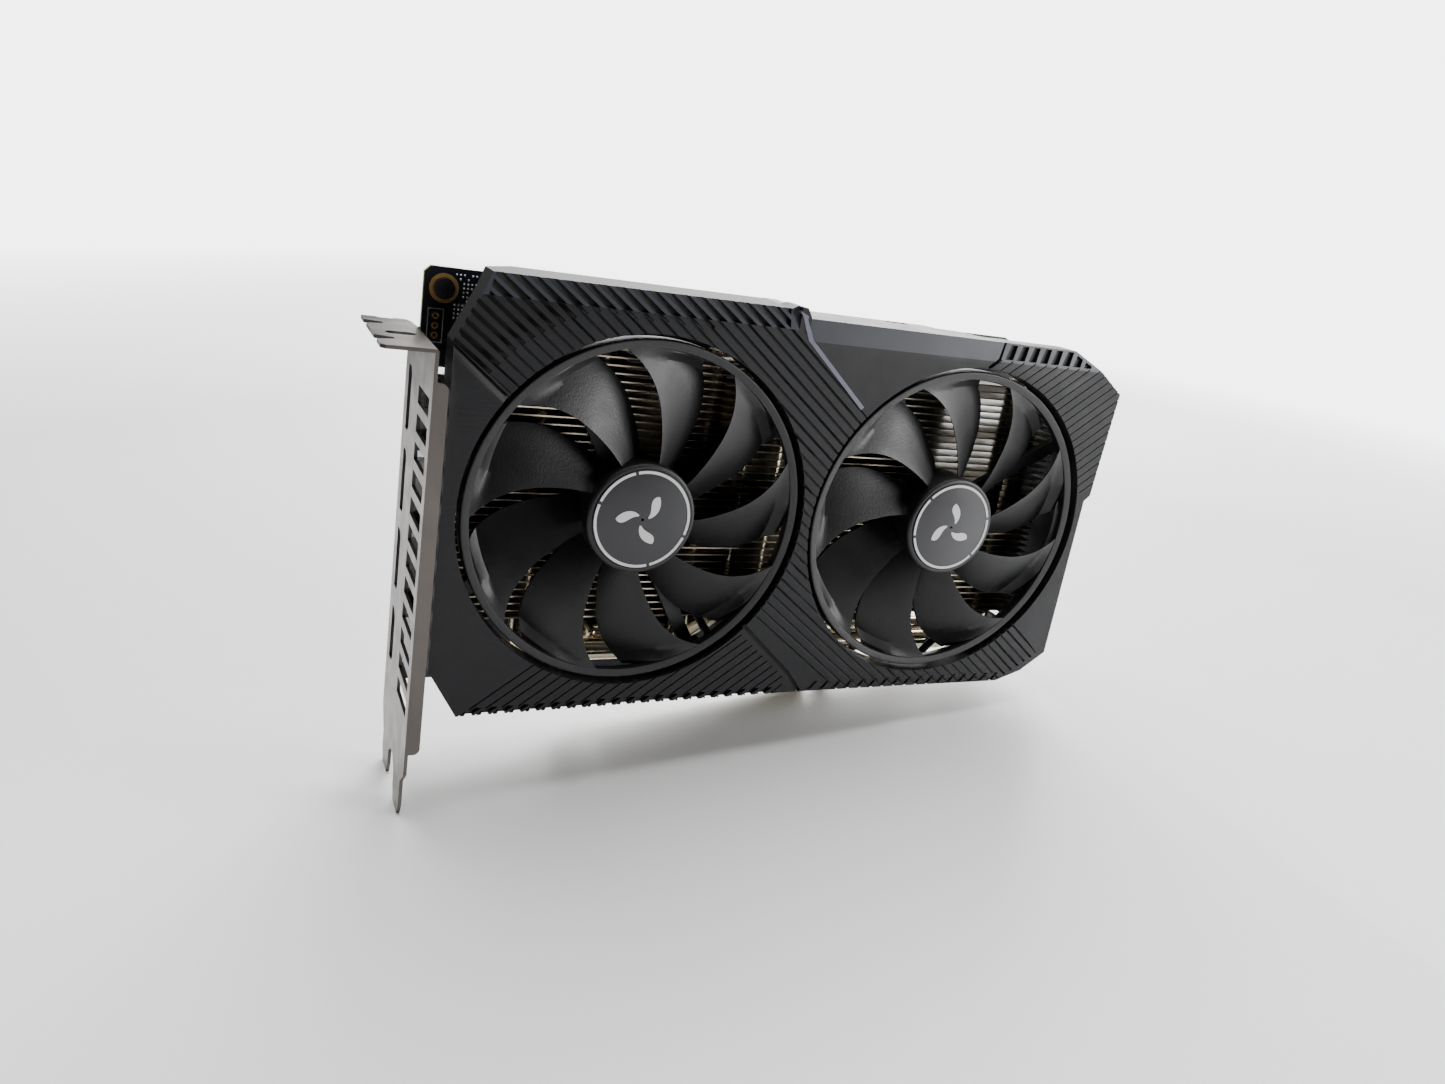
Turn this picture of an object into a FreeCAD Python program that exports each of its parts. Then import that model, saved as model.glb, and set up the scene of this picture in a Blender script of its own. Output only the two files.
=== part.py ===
"""Two-slot graphics card with two fans, as separate sub-parts in millimetres.

Design frame: X runs along the card from the bracket's outer face, Y from the shroud's
front face towards the circuit board, Z up from the tips of the bracket's tails.
Every sub-part is moved by ORIGIN_SHIFT on export, so that the exported origin is the
bottom centre of the whole card's box.
"""
import FreeCAD, Part
import math
import os

os.makedirs("parts", exist_ok=True)
V = FreeCAD.Vector

# ---- driving dimensions --------------------------------------------------------------
CARD_LENGTH = 200.0            # bracket's outer face to the shroud's far end
SLOT_PITCH = 20.32             # one expansion slot
BRACKET_WIDTH = 38.74          # two slots
BRACKET_HEIGHT = 120.02
SHEET = 0.86                   # bracket steel
TAB_DEPTH = 11.43
BRACKET_FRONT = -3.17          # bracket's fan-side edge
BRACKET_BACK = BRACKET_FRONT + BRACKET_WIDTH

BOARD_FRONT = 31.5             # component face
BOARD_THICKNESS = 1.57
BOARD_BACK = BOARD_FRONT + BOARD_THICKNESS
BOARD_LEFT = 2.1
BOARD_RIGHT = 148.0
BOARD_BOTTOM = 23.45
BOARD_TOP = 134.1
FINGER_DEPTH = 8.25            # edge tab below the board's lower edge
FINGER_BOTTOM = BOARD_BOTTOM - FINGER_DEPTH
KEY_X = 59.05                  # middle of the key notch
KEY_WIDTH = 1.9

FAN_CENTRES = {"left": (54.0, 81.6), "right": (149.1, 81.6)}
FAN_TURN = {"left": 102.5, "right": 115.5}
OPENING_RADIUS = 46.1
BLADE_COUNT = 9
RING_OUTER = 44.8
RING_INNER = 42.4
HUB_RADIUS = 14.4
HUB_FRONT = -0.8
BLADE_FRONT = 1.6
BLADE_BACK = 9.4
SHAFT_RADIUS = 1.25
SHAFT_CLEARANCE = 0.03
STRUT_ANGLES = (30, 120, 210, 300)
LUG_RADIUS = 50.3              # fan screws from the fan's axis
STRUT_FRONT = 10.2
STRUT_BACK = 12.2

SHROUD_SKIN = 2.0
SHROUD_DEPTH = 9.0
SHROUD_WALL = 1.6

FIN_FRONT = 13.0
FIN_BACK = 25.0
FIN_THICKNESS = 0.35
FIN_PITCH = 2.0
FIN_COUNT = 37
FIN_LOWEST = 49.0
FIN_SPANS = {"left": (10.0, 103.8), "right": (104.6, 192.0)}
PIPE_RADIUS = 3.0
PIPE_Y = 20.0
PIPE_TOP = 122.6

GPU_X = 92.0
GPU_Z = 76.0
GPU_HOLE_PITCH = 58.0
PLATE_FRONT = 26.4
PLATE_BACK = 29.4

BACKPLATE_FRONT = 33.9
BACKPLATE_BACK = 34.9

ORIGIN_SHIFT = V((TAB_DEPTH - CARD_LENGTH) / 2, -(BRACKET_FRONT + BRACKET_BACK) / 2, 0)


# ---- helpers -------------------------------------------------------------------------
def block(x0, x1, y0, y1, z0, z1):
    """A box between two corners."""
    return Part.makeBox(x1 - x0, y1 - y0, z1 - z0, V(x0, y0, z0))


def round_y(x, z, radius, y0, y1):
    """A cylinder along Y."""
    return Part.makeCylinder(radius, y1 - y0, V(x, y0, z), V(0, 1, 0))


def tube_y(x, z, outer, inner, y0, y1):
    """A ring with its axis along Y."""
    return round_y(x, z, outer, y0, y1).cut(round_y(x, z, inner, y0 - 1, y1 + 1))


def plate_xz(points, y0, y1):
    """A plate whose outline is given as (x, z) points."""
    wire = Part.makePolygon([V(x, y0, z) for x, z in points + points[:1]])
    return Part.Face(wire).extrude(V(0, y1 - y0, 0))


def plate_yz(points, x0, x1):
    """A plate whose outline is given as (y, z) points."""
    wire = Part.makePolygon([V(x0, y, z) for y, z in points + points[:1]])
    return Part.Face(wire).extrude(V(x1 - x0, 0, 0))


def plate_xy(points, z0, z1):
    """A plate whose outline is given as (x, y) points."""
    wire = Part.makePolygon([V(x, y, z0) for x, y in points + points[:1]])
    return Part.Face(wire).extrude(V(0, 0, z1 - z0))


def join(shapes):
    """All shapes fused into one solid."""
    first = shapes[0]
    return first.multiFuse(shapes[1:]).removeSplitter() if len(shapes) > 1 else first


def cut_all(shape, tools):
    """The shape with every tool taken away."""
    return shape.cut(Part.makeCompound(tools))


def screw_y(x, z, head_radius, head_front, head_back, shank_radius, shank_end):
    """A pan-head screw along Y, with a cross recess in its outer face."""
    head = round_y(x, z, head_radius, head_front, head_back)
    outwards_front = shank_end > head_back
    low = head_back if outwards_front else shank_end
    high = shank_end if outwards_front else head_front
    shank = round_y(x, z, shank_radius, low, high)
    depth = 0.55 * (head_back - head_front)
    y0 = head_front if outwards_front else head_back - depth
    arm = 0.62 * head_radius
    half = 0.16 * head_radius
    cross = [block(x - arm, x + arm, y0, y0 + depth, z - half, z + half),
             block(x - half, x + half, y0, y0 + depth, z - arm, z + arm)]
    return cut_all(head.fuse(shank).removeSplitter(), cross)


def rod_along(points, radius, bend_radius):
    """A round rod along straight runs joined by tangent arcs."""
    edges = []
    here = points[0]
    for before, corner, after in zip(points, points[1:], points[2:]):
        back = (before - corner).normalize()
        ahead = (after - corner).normalize()
        turn = math.pi - back.getAngle(ahead)
        reach = bend_radius * math.tan(turn / 2)
        start = corner + back * reach
        end = corner + ahead * reach
        towards = (back + ahead).normalize()
        middle = corner + towards * (bend_radius / math.cos(turn / 2) - bend_radius)
        edges.append(Part.LineSegment(here, start).toShape())
        edges.append(Part.Arc(start, middle, end).toShape())
        here = end
    edges.append(Part.LineSegment(here, points[-1]).toShape())
    path = Part.Wire(edges)
    ring = Part.makeCircle(radius, points[0], points[1] - points[0])
    return path.makePipeShell([Part.Wire([ring])], True, False)


def export(name, solids):
    """Writes one node, from one solid or a list of separate ones."""
    shape = Part.makeCompound(solids) if isinstance(solids, list) else solids
    moved = shape.copy()
    moved.translate(ORIGIN_SHIFT)
    moved.exportStep("parts/" + name + ".step")


# ---- circuit board -------------------------------------------------------------------
BOARD_SCREWS = [(7.0, 129.0), (62.0, 36.0), (143.0, 129.5), (141.5, 45.5)]
POST_PLACES = [(21.0, 130.5), (21.0, 33.0)]
RIGHT_POSTS = [(188.0, 126.0), (193.5, 41.0)]
EAR_SCREWS = [(6.0, 115.6), (6.0, 27.6)]
GPU_SCREWS = [(GPU_X + sx * GPU_HOLE_PITCH / 2, GPU_Z + sz * GPU_HOLE_PITCH / 2)
              for sx in (-1, 1) for sz in (-1, 1)]
TAB_LEFT = KEY_X - 12.15
TAB_RIGHT = KEY_X + 72.15


def circuit_board():
    """The board with its edge tab, key notch, retention hook and screw holes."""
    lead_in = 1.0
    outline = [(BOARD_LEFT, BOARD_BOTTOM), (TAB_LEFT, BOARD_BOTTOM),
               (TAB_LEFT, FINGER_BOTTOM + lead_in), (TAB_LEFT + lead_in, FINGER_BOTTOM),
               (TAB_RIGHT - lead_in, FINGER_BOTTOM), (TAB_RIGHT, FINGER_BOTTOM + lead_in),
               (TAB_RIGHT, BOARD_BOTTOM), (TAB_RIGHT + 3.2, BOARD_BOTTOM),
               (TAB_RIGHT + 3.2, FINGER_BOTTOM + 1.2), (TAB_RIGHT + 7.7, FINGER_BOTTOM + 1.2),
               (TAB_RIGHT + 9.2, BOARD_BOTTOM), (BOARD_RIGHT, BOARD_BOTTOM),
               (BOARD_RIGHT, BOARD_TOP), (BOARD_LEFT + 1.5, BOARD_TOP),
               (BOARD_LEFT, BOARD_TOP - 1.5)]
    board = plate_xz(outline, BOARD_FRONT, BOARD_BACK)
    key = block(KEY_X - KEY_WIDTH / 2, KEY_X + KEY_WIDTH / 2, BOARD_FRONT - 1, BOARD_BACK + 1,
                FINGER_BOTTOM - 1, BOARD_BOTTOM - 0.4)
    hole_sizes = [(BOARD_SCREWS, 1.6), (POST_PLACES, 1.25), (GPU_SCREWS, 1.7), (EAR_SCREWS, 1.25)]
    holes = [round_y(x, z, radius, BOARD_FRONT - 1, BOARD_BACK + 1)
             for places, radius in hole_sizes for x, z in places]
    return cut_all(board, [key] + holes)


def edge_contacts():
    """Gold contacts on both faces of the edge tab, either side of the key notch."""
    pad_width = 0.7
    copper = 0.04
    short_side = [KEY_X - 1.5 - i for i in range(11)]
    long_side = [KEY_X + 1.5 + i for i in range(71)]
    pads = []
    for x in short_side + long_side:
        for y in (BOARD_FRONT - copper, BOARD_BACK):
            pads.append(block(x - pad_width / 2, x + pad_width / 2, y, y + copper,
                              FINGER_BOTTOM + 1.3, FINGER_BOTTOM + 6.6))
    return pads


def screw_pads():
    """Plated rings round the board's own screws."""
    return [tube_y(x, z, 3.6, 2.6, BOARD_FRONT - 0.08, BOARD_FRONT) for x, z in BOARD_SCREWS]


def board_screws():
    """Screws that hold the board to the backplate."""
    return [screw_y(x, z, 2.5, BOARD_FRONT - 1.5, BOARD_FRONT, 1.25, BACKPLATE_FRONT)
            for x, z in BOARD_SCREWS]


# ---- chips and board components ------------------------------------------------------
def gpu_package():
    """The processor's carrier."""
    half = 18.5
    return block(GPU_X - half, GPU_X + half, BOARD_FRONT - 1.2, BOARD_FRONT, GPU_Z - half, GPU_Z + half)


def gpu_die():
    """The bare silicon on the carrier."""
    return block(GPU_X - 8.6, GPU_X + 8.6, BOARD_FRONT - 2.0, BOARD_FRONT - 1.2,
                 GPU_Z - 8.0, GPU_Z + 8.0)


def gpu_paste():
    """Thermal paste between the die and the cold plate."""
    return block(GPU_X - 8.6, GPU_X + 8.6, PLATE_BACK, BOARD_FRONT - 2.0, GPU_Z - 8.0, GPU_Z + 8.0)


MEMORY_PLACES = [(63.5, 64.0), (63.5, 81.0), (81.5, 106.0), (102.5, 106.0), (120.5, 64.0), (120.5, 81.0)]
MEMORY_FRONT = BOARD_FRONT - 1.2


def memory_chips():
    """Memory packages round the processor."""
    return [block(x - 6, x + 6, MEMORY_FRONT, BOARD_FRONT, z - 7, z + 7) for x, z in MEMORY_PLACES]


def memory_pads():
    """Thermal pads from the memory to the cold plate."""
    return [block(x - 5.4, x + 5.4, PLATE_BACK, MEMORY_FRONT, z - 6.4, z + 6.4)
            for x, z in MEMORY_PLACES]


INDUCTOR_PLACES = [(36.0, 52.0 + 11.0 * i) for i in range(5)] + [(136.0, 66.0), (136.0, 78.0)]


def inductors():
    """Power inductors, ferrite blocks with stepped sides."""
    blocks = []
    for x, z in INDUCTOR_PLACES:
        body = block(x - 4.5, x + 4.5, BOARD_FRONT - 4.2, BOARD_FRONT - 0.4, z - 4.3, z + 4.3)
        foot = block(x - 3.6, x + 3.6, BOARD_FRONT - 0.4, BOARD_FRONT, z - 2.2, z + 2.2)
        blocks.append(body.fuse(foot).removeSplitter())
    return blocks


def power_stages():
    """Driver chips beside the inductors."""
    return [block(x + 7.0, x + 12.0, BOARD_FRONT - 0.9, BOARD_FRONT, z - 2.8, z + 2.8)
            for x, z in INDUCTOR_PLACES if x < GPU_X]


CAN_PLACES = [(24.5, 50.5 + 9.5 * i) for i in range(6)] + [(110.0 + 9.0 * i, 118.6) for i in range(3)]


def capacitors():
    """Polymer can capacitors on their square bases."""
    cans = []
    for x, z in CAN_PLACES:
        base = block(x - 3.3, x + 3.3, BOARD_FRONT - 0.9, BOARD_FRONT, z - 3.3, z + 3.3)
        can = round_y(x, z, 3.1, BOARD_FRONT - 5.6, BOARD_FRONT - 0.9)
        cans.append(base.fuse(can).removeSplitter())
    return cans


CONTROL_CHIPS = [(49.0, 120.0, 3.5, 3.5), (75.0, 124.0, 3.0, 2.0), (35.0, 118.0, 2.5, 2.5),
                 (137.0, 96.0, 3.5, 3.5), (96.0, 40.5, 4.0, 2.5)]


def control_chips():
    """Controller, memory and clock chips."""
    return [block(x - a, x + a, BOARD_FRONT - 0.9, BOARD_FRONT, z - b, z + b)
            for x, z, a, b in CONTROL_CHIPS]


HEADER_PLACES = {"left": (86.0, 31.6), "right": (139.0, 31.6)}
HEADER_FRONT = 27.5


def fan_headers():
    """Sockets on the board that the fan leads plug into."""
    headers = []
    for x, z in HEADER_PLACES.values():
        body = block(x - 4.2, x + 4.2, HEADER_FRONT, BOARD_FRONT, z - 2.3, z + 2.3)
        key = block(x - 1.2, x + 1.2, HEADER_FRONT + 1, BOARD_FRONT, z + 2.3, z + 2.9)
        headers.append(body.fuse(key).removeSplitter())
    return headers


# ---- power socket --------------------------------------------------------------------
SOCKET_X = 118.0
SOCKET_WIDTH = 21.6
SOCKET_FRONT = 20.6
SOCKET_BACK = 31.2
SOCKET_BOTTOM = 122.0
SOCKET_TOP = 133.9
CELL_PITCH_X = 4.9
CELL_PITCH_Y = 4.7


def socket_cells():
    """Middle of each of the eight cells, as (x, y)."""
    middle_x = SOCKET_X + SOCKET_WIDTH / 2
    middle_y = (SOCKET_FRONT + SOCKET_BACK) / 2
    return [(middle_x + (column - 1.5) * CELL_PITCH_X, middle_y + (row - 0.5) * CELL_PITCH_Y)
            for column in range(4) for row in range(2)]


def power_socket():
    """Eight-way power housing, open upwards, with a latch ramp on its front."""
    body = block(SOCKET_X, SOCKET_X + SOCKET_WIDTH, SOCKET_FRONT, SOCKET_BACK, SOCKET_BOTTOM, SOCKET_TOP)
    half = 1.85
    cells = [block(x - half, x + half, y - half, y + half, SOCKET_BOTTOM + 2.5, SOCKET_TOP + 1)
             for x, y in socket_cells()]
    middle = SOCKET_X + SOCKET_WIDTH / 2
    latch = plate_yz([(SOCKET_FRONT, SOCKET_TOP - 6), (SOCKET_FRONT - 1.3, SOCKET_TOP - 4),
                      (SOCKET_FRONT, SOCKET_TOP - 1.5)], middle - 2.2, middle + 2.2)
    return cut_all(body.fuse(latch).removeSplitter(), cells)


def power_pins():
    """Square posts inside the power housing."""
    half = 0.6
    return [block(x - half, x + half, y - half, y + half, SOCKET_BOTTOM + 2.5, SOCKET_TOP - 4)
            for x, y in socket_cells()]


# ---- display sockets -----------------------------------------------------------------
PORT_Y = 28.3
DISPLAYPORT_Z = (102.0, 80.8, 59.6)
DISPLAYPORT_MOUTH = (8.1, 2.4, 1.4)        # half length, half width, cut corner
HDMI_Z = 38.4
HDMI_MOUTH = (7.4, 2.6, 1.9)
PORT_BACK = 16.5


def port_outline(centre_z, half_long, half_wide, chamfer):
    """D-shaped mouth with two cut corners on the fan side, as (y, z) points."""
    low, high = PORT_Y - half_wide, PORT_Y + half_wide
    return [(high, centre_z - half_long), (high, centre_z + half_long),
            (low + chamfer, centre_z + half_long), (low, centre_z + half_long - chamfer),
            (low, centre_z - half_long + chamfer), (low + chamfer, centre_z - half_long)]


def port_shell(centre_z, half_long, half_wide, chamfer):
    """Metal shell of a display socket, closed at the back."""
    wall = 0.35
    outer = plate_yz(port_outline(centre_z, half_long + wall, half_wide + wall, chamfer), SHEET, PORT_BACK)
    hollow = plate_yz(port_outline(centre_z, half_long, half_wide, chamfer), 0, PORT_BACK - wall)
    return outer.cut(hollow)


def port_core(centre_z, half_long, half_wide, chamfer):
    """Plastic tongue and rear block inside a display socket."""
    rear = plate_yz(port_outline(centre_z, half_long, half_wide, chamfer), PORT_BACK - 4.5, PORT_BACK - 0.35)
    tongue = block(SHEET + 1.0, PORT_BACK - 4.5, PORT_Y + 0.1, PORT_Y + 1.0,
                   centre_z - half_long + 1.3, centre_z + half_long - 1.3)
    return rear.fuse(tongue).removeSplitter()


# ---- bracket -------------------------------------------------------------------------
VENT_COUNT = 12
VENT_LOWEST = 28.6
VENT_PITCH = 6.85
VENT_HEIGHT = 4.3
TAB_SLOT_Y = 13.9
TAB_SLOT_RADIUS = 1.9
BEND_RADIUS = 0.8
TAIL_WIDTH = 10.16


def bracket_outline():
    """The bracket's flat face below the folded tab, with its two tails, as (y, z) points."""
    front, back = BRACKET_FRONT, BRACKET_BACK
    top = BRACKET_HEIGHT - SHEET
    tail = TAIL_WIDTH
    front_tail = front + 4.12
    back_tail = front_tail + SLOT_PITCH
    return [(front, top), (front, 14.5), (front + 1.2, 13.2), (front_tail, 10.4),
            (front_tail, 3.2), (front_tail + 1.6, 0), (front_tail + tail - 1.6, 0),
            (front_tail + tail, 3.2), (front_tail + tail, 7.4), (front_tail + tail + 3.4, 10.2),
            (back_tail - 3.4, 10.2), (back_tail, 7.4), (back_tail, 3.2), (back_tail + 1.6, 0),
            (back_tail + tail - 1.6, 0), (back_tail + tail, 3.2), (back_tail + tail, 8.0),
            (back, 14.5), (back, top)]


def tab_outline():
    """The folded tab with its two tapered screw notches, as (x, y) points."""
    end = -TAB_DEPTH
    points = [(SHEET, BRACKET_FRONT), (end + 1.0, BRACKET_FRONT), (end, BRACKET_FRONT + 1.0)]
    for middle in (BRACKET_FRONT + 9.6, BRACKET_FRONT + 9.6 + SLOT_PITCH):
        points += [(end, middle - 2.6), (end + 4.0, middle - 1.0), (end + 4.0, middle + 1.0),
                   (end, middle + 2.6)]
    points += [(end, BRACKET_BACK), (end + 3.4, BRACKET_BACK), (end + 4.1, BRACKET_BACK - 1.2),
               (end + 7.4, BRACKET_BACK - 1.2), (end + 7.6, BRACKET_BACK), (-0.9, BRACKET_BACK),
               (SHEET, BRACKET_BACK - 6.0)]
    return points


def bracket_holes():
    """Vent slots and display socket windows."""
    tools = []
    for i in range(VENT_COUNT):
        z = VENT_LOWEST + VENT_PITCH * i
        tools.append(block(-1, SHEET + 1, 0.2, 14.9, z, z + VENT_HEIGHT))
    for centre in DISPLAYPORT_Z:
        tools.append(plate_yz(port_outline(centre, *DISPLAYPORT_MOUTH), -1, SHEET + 1))
    tools.append(plate_yz(port_outline(HDMI_Z, *HDMI_MOUTH), -1, SHEET + 1))
    return tools


def io_bracket():
    """Bracket: slotted face, tails, folded tab, front flange and two ears behind the board."""
    face = plate_yz(bracket_outline(), 0, SHEET)
    face = cut_all(face, bracket_holes())
    tab = plate_xy(tab_outline(), BRACKET_HEIGHT - SHEET, BRACKET_HEIGHT)
    slot_near, slot_far = -3.4, -6.6
    slot = block(slot_far, slot_near, TAB_SLOT_Y - TAB_SLOT_RADIUS, TAB_SLOT_Y + TAB_SLOT_RADIUS,
                 BRACKET_HEIGHT - 2, BRACKET_HEIGHT + 1)
    slot_ends = [Part.makeCylinder(TAB_SLOT_RADIUS, 4, V(x, TAB_SLOT_Y, BRACKET_HEIGHT - 2))
                 for x in (slot_near, slot_far)]
    tab = cut_all(tab, [slot] + slot_ends)
    flange = block(0, 3.5, BRACKET_FRONT, BRACKET_FRONT + SHEET, 20.0, 112.5)
    corners = [e for e in flange.Edges
               if abs(e.BoundBox.YLength - SHEET) < 0.01 and e.BoundBox.XMin > 3]
    flange = flange.makeFillet(1.6, corners)
    ears = [block(0, 9.6, BOARD_BACK, BOARD_BACK + 0.8, z - 3.2, z + 3.2) for x, z in EAR_SCREWS]
    body = join([face, tab, flange] + ears)
    holes = [round_y(x, z, 1.25, BOARD_BACK - 1, BOARD_BACK + 2) for x, z in EAR_SCREWS]
    bend = [e for e in body.Edges
            if e.BoundBox.YLength > BRACKET_WIDTH / 2 and abs(e.BoundBox.ZMin - BRACKET_HEIGHT) < 0.01
            and abs(e.BoundBox.XMin - SHEET) < 0.01]
    return cut_all(body.makeFillet(BEND_RADIUS, bend), holes)


def bracket_screws():
    """Screws through the bracket's ears and the board."""
    return [screw_y(x, z, 2.2, BOARD_BACK + 0.8, BOARD_BACK + 2.3, 1.25, BOARD_FRONT)
            for x, z in EAR_SCREWS]


# ---- heatsink ------------------------------------------------------------------------
BASE_LEFT, BASE_RIGHT = 68.0, 116.0
BASE_BOTTOM, BASE_TOP = 48.0, 104.0
DEEP_RUN_Y = 26.8              # runs that pass behind the other pair
PIPES = {"outer_left": (31.0, 77.5, PIPE_Y), "inner_left": (46.0, 88.2, DEEP_RUN_Y),
         "inner_right": (178.0, 109.6, PIPE_Y), "outer_right": (186.0, 98.9, DEEP_RUN_Y)}
FRONT_RUN_Z = 36.2
DEEP_RUN_Z = 38.0
DEEP_BEND_Z = 46.5


def cold_plate():
    """Nickel-plated plate over the processor and the memory, with its screw posts."""
    plate = block(54.0, 130.0, PLATE_FRONT, PLATE_BACK, 43.5, 114.5)
    posts = [round_y(x, z, 2.8, PLATE_BACK - 0.5, BOARD_FRONT) for x, z in GPU_SCREWS]
    holes = [round_y(x, z, 1.2, PLATE_BACK - 2.5, BOARD_FRONT + 1) for x, z in GPU_SCREWS]
    return cut_all(join([plate] + posts), holes)


def pipe_block():
    """Aluminium block between the cold plate and the pipes, grooved for them."""
    body = block(BASE_LEFT, BASE_RIGHT, PIPE_Y, PLATE_FRONT, BASE_BOTTOM, BASE_TOP)
    grooves = [Part.makeCylinder(PIPE_RADIUS, 80, V(near, PIPE_Y, BASE_BOTTOM - 10))
               for far, near, run_y in PIPES.values()]
    return cut_all(body, grooves)


def heat_pipe(far, near, run_y):
    """A U-shaped pipe: one leg on the block, a run below the fins and a leg up in the fins."""
    ends = [V(far, PIPE_Y, PIPE_TOP), V(near, PIPE_Y, PIPE_TOP)]
    if run_y == PIPE_Y:
        bend = 8.0
        corners = [V(far, PIPE_Y, FRONT_RUN_Z), V(near, PIPE_Y, FRONT_RUN_Z)]
    else:
        bend = 5.0
        way = math.copysign(6.0, near - far)
        corners = [V(far, PIPE_Y, DEEP_BEND_Z), V(far + way, run_y, DEEP_RUN_Z),
                   V(near - way, run_y, DEEP_RUN_Z), V(near, PIPE_Y, DEEP_BEND_Z)]
    return rod_along(ends[:1] + corners + ends[1:], PIPE_RADIUS, bend)


def fin_outline(left, right):
    """One fin between two X stations, stepped over the pipe block, as (x, y) points."""
    step = PIPE_Y - 0.1
    plate_left, plate_right = 53.0, 131.0
    points = [(left, FIN_FRONT), (right, FIN_FRONT)]
    if right > plate_right:
        points += [(right, FIN_BACK), (plate_right, FIN_BACK), (plate_right, step), (left, step)]
    else:
        points += [(right, step), (plate_left, step), (plate_left, FIN_BACK), (left, FIN_BACK)]
    return points


def fin_stack(left, right):
    """Thin level fins with holes that the pipes pass through."""
    legs = [leg for far, near, run_y in PIPES.values() for leg in (far, near)]
    holes = [Part.makeCylinder(PIPE_RADIUS, 4, V(x, PIPE_Y, FIN_LOWEST - 2)) for x in legs]
    lowest = plate_xy(fin_outline(left, right), FIN_LOWEST, FIN_LOWEST + FIN_THICKNESS)
    lowest = cut_all(lowest, holes)
    solids = []
    for i in range(FIN_COUNT):
        fin = lowest.copy()
        fin.translate(V(0, 0, i * FIN_PITCH))
        solids.append(fin.Solids[0])
    return solids


def gpu_springs():
    """Conical springs under the heatsink's screw heads, as short sleeves."""
    return [tube_y(x, z, 2.3, 1.5, BOARD_BACK, BOARD_BACK + 1.1) for x, z in GPU_SCREWS]


def gpu_screws():
    """Spring screws that pull the cold plate onto the processor."""
    return [screw_y(x, z, 2.4, BOARD_BACK + 1.1, BACKPLATE_BACK + 0.5, 1.2, PLATE_BACK)
            for x, z in GPU_SCREWS]


# ---- backplate -----------------------------------------------------------------------
SLAT_COUNT = 6
SLAT_LOWEST = 44.0
SLAT_PITCH = 13.0
SLAT_HEIGHT = 8.0
SLAT_RISE = 4.0
SLAT_LEFT, SLAT_RIGHT = 165.0, 195.0
LOW_VENT = (168.0, 186.0, 33.5, 40.0)      # left, right, bottom and top of the lowest vent
PLATE_LEFT = 5.0
PLATE_TOP = 133.2
EAR_CLEARANCE = 11.5           # the plate steps in past the bracket's ears
BACKPLATE_OUTLINE = [(6.0, 31.0), (10.5, 26.2), (44.0, 26.2), (46.0, 28.5), (134.0, 28.5), (136.0, 26.2),
                     (176.0, 27.5), (190.0, 32.5), (197.5, 39.5), (197.5, 122.5), (190.0, 129.0),
                     (181.0, PLATE_TOP), (7.8, PLATE_TOP), (PLATE_LEFT, 130.4), (PLATE_LEFT, 121.0),
                     (EAR_CLEARANCE, 121.0), (EAR_CLEARANCE, 108.5), (PLATE_LEFT, 108.5),
                     (PLATE_LEFT, 34.0), (EAR_CLEARANCE, 34.0), (EAR_CLEARANCE, 31.0)]


def backplate():
    """Sheet cover behind the board, open behind the far fins, with bosses to the board."""
    front, back = BACKPLATE_FRONT - 1, BACKPLATE_BACK + 1
    plate = plate_xz(BACKPLATE_OUTLINE, BACKPLATE_FRONT, BACKPLATE_BACK)
    slats = []
    for i in range(SLAT_COUNT):
        low = SLAT_LOWEST + SLAT_PITCH * i
        slats.append(plate_xz([(SLAT_LEFT, low), (SLAT_RIGHT, low + SLAT_RISE),
                               (SLAT_RIGHT, low + SLAT_RISE + SLAT_HEIGHT), (SLAT_LEFT, low + SLAT_HEIGHT)],
                              front, back))
    left, right, bottom, top = LOW_VENT
    slats.append(block(left, right, front, back, bottom, top))
    clear = [round_y(x, z, 3.4, front, back) for x, z in GPU_SCREWS]
    bosses = [round_y(x, z, 3.2, BOARD_BACK, BACKPLATE_FRONT) for x, z in BOARD_SCREWS + POST_PLACES]
    body = join([cut_all(plate, slats + clear)] + bosses)
    holes = [round_y(x, z, 1.25, BOARD_BACK - 1, BACKPLATE_BACK + 1) for x, z in POST_PLACES + RIGHT_POSTS]
    holes += [round_y(x, z, 1.25, BOARD_BACK - 1, BACKPLATE_FRONT) for x, z in BOARD_SCREWS]
    return cut_all(body, holes)


def backplate_screws():
    """Screws from behind, through the backplate into the shroud's posts."""
    return [screw_y(x, z, 2.4, BACKPLATE_BACK, BACKPLATE_BACK + 0.6, 1.25, BOARD_FRONT - 6)
            for x, z in POST_PLACES + RIGHT_POSTS]


# ---- shroud --------------------------------------------------------------------------
SHROUD_OUTLINE = [(12.0, 137.4), (87.0, 137.3), (88.6, 138.1), (90.6, 138.0), (92.2, 135.4),
                  (180.4, 135.1), (190.6, 130.3), (CARD_LENGTH, 124.1), (199.1, 92.6), (197.3, 90.8),
                  (198.0, 39.9), (190.0, 33.8), (181.0, 30.6), (110.0, 30.4), (98.0, 30.1),
                  (12.2, 28.2), (4.6, 41.0), (4.4, 121.3)]
# Rear edge of the top wall, as (x, y): deep along the board, shallow at both ends.
TOP_WALL_EDGE = [(8.0, 7.0), (20.0, 19.0), (125.3, 20.2), (125.3, 16.4), (132.3, 16.4), (132.3, 20.2),
                 (140.0, 20.2), (141.5, 16.5), (148.5, 15.5), (151.0, 9.5), (160.0, 7.0)]
TOP_WALL_LOWEST = 128.0
END_WALL_BACK = 31.0
END_WALL_LEFT = 195.0
END_WALL_SPAN = (44.0, 122.0)  # the end wall is deep between these heights
SHROUD_MIDDLE = (100.0, 82.0)


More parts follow.
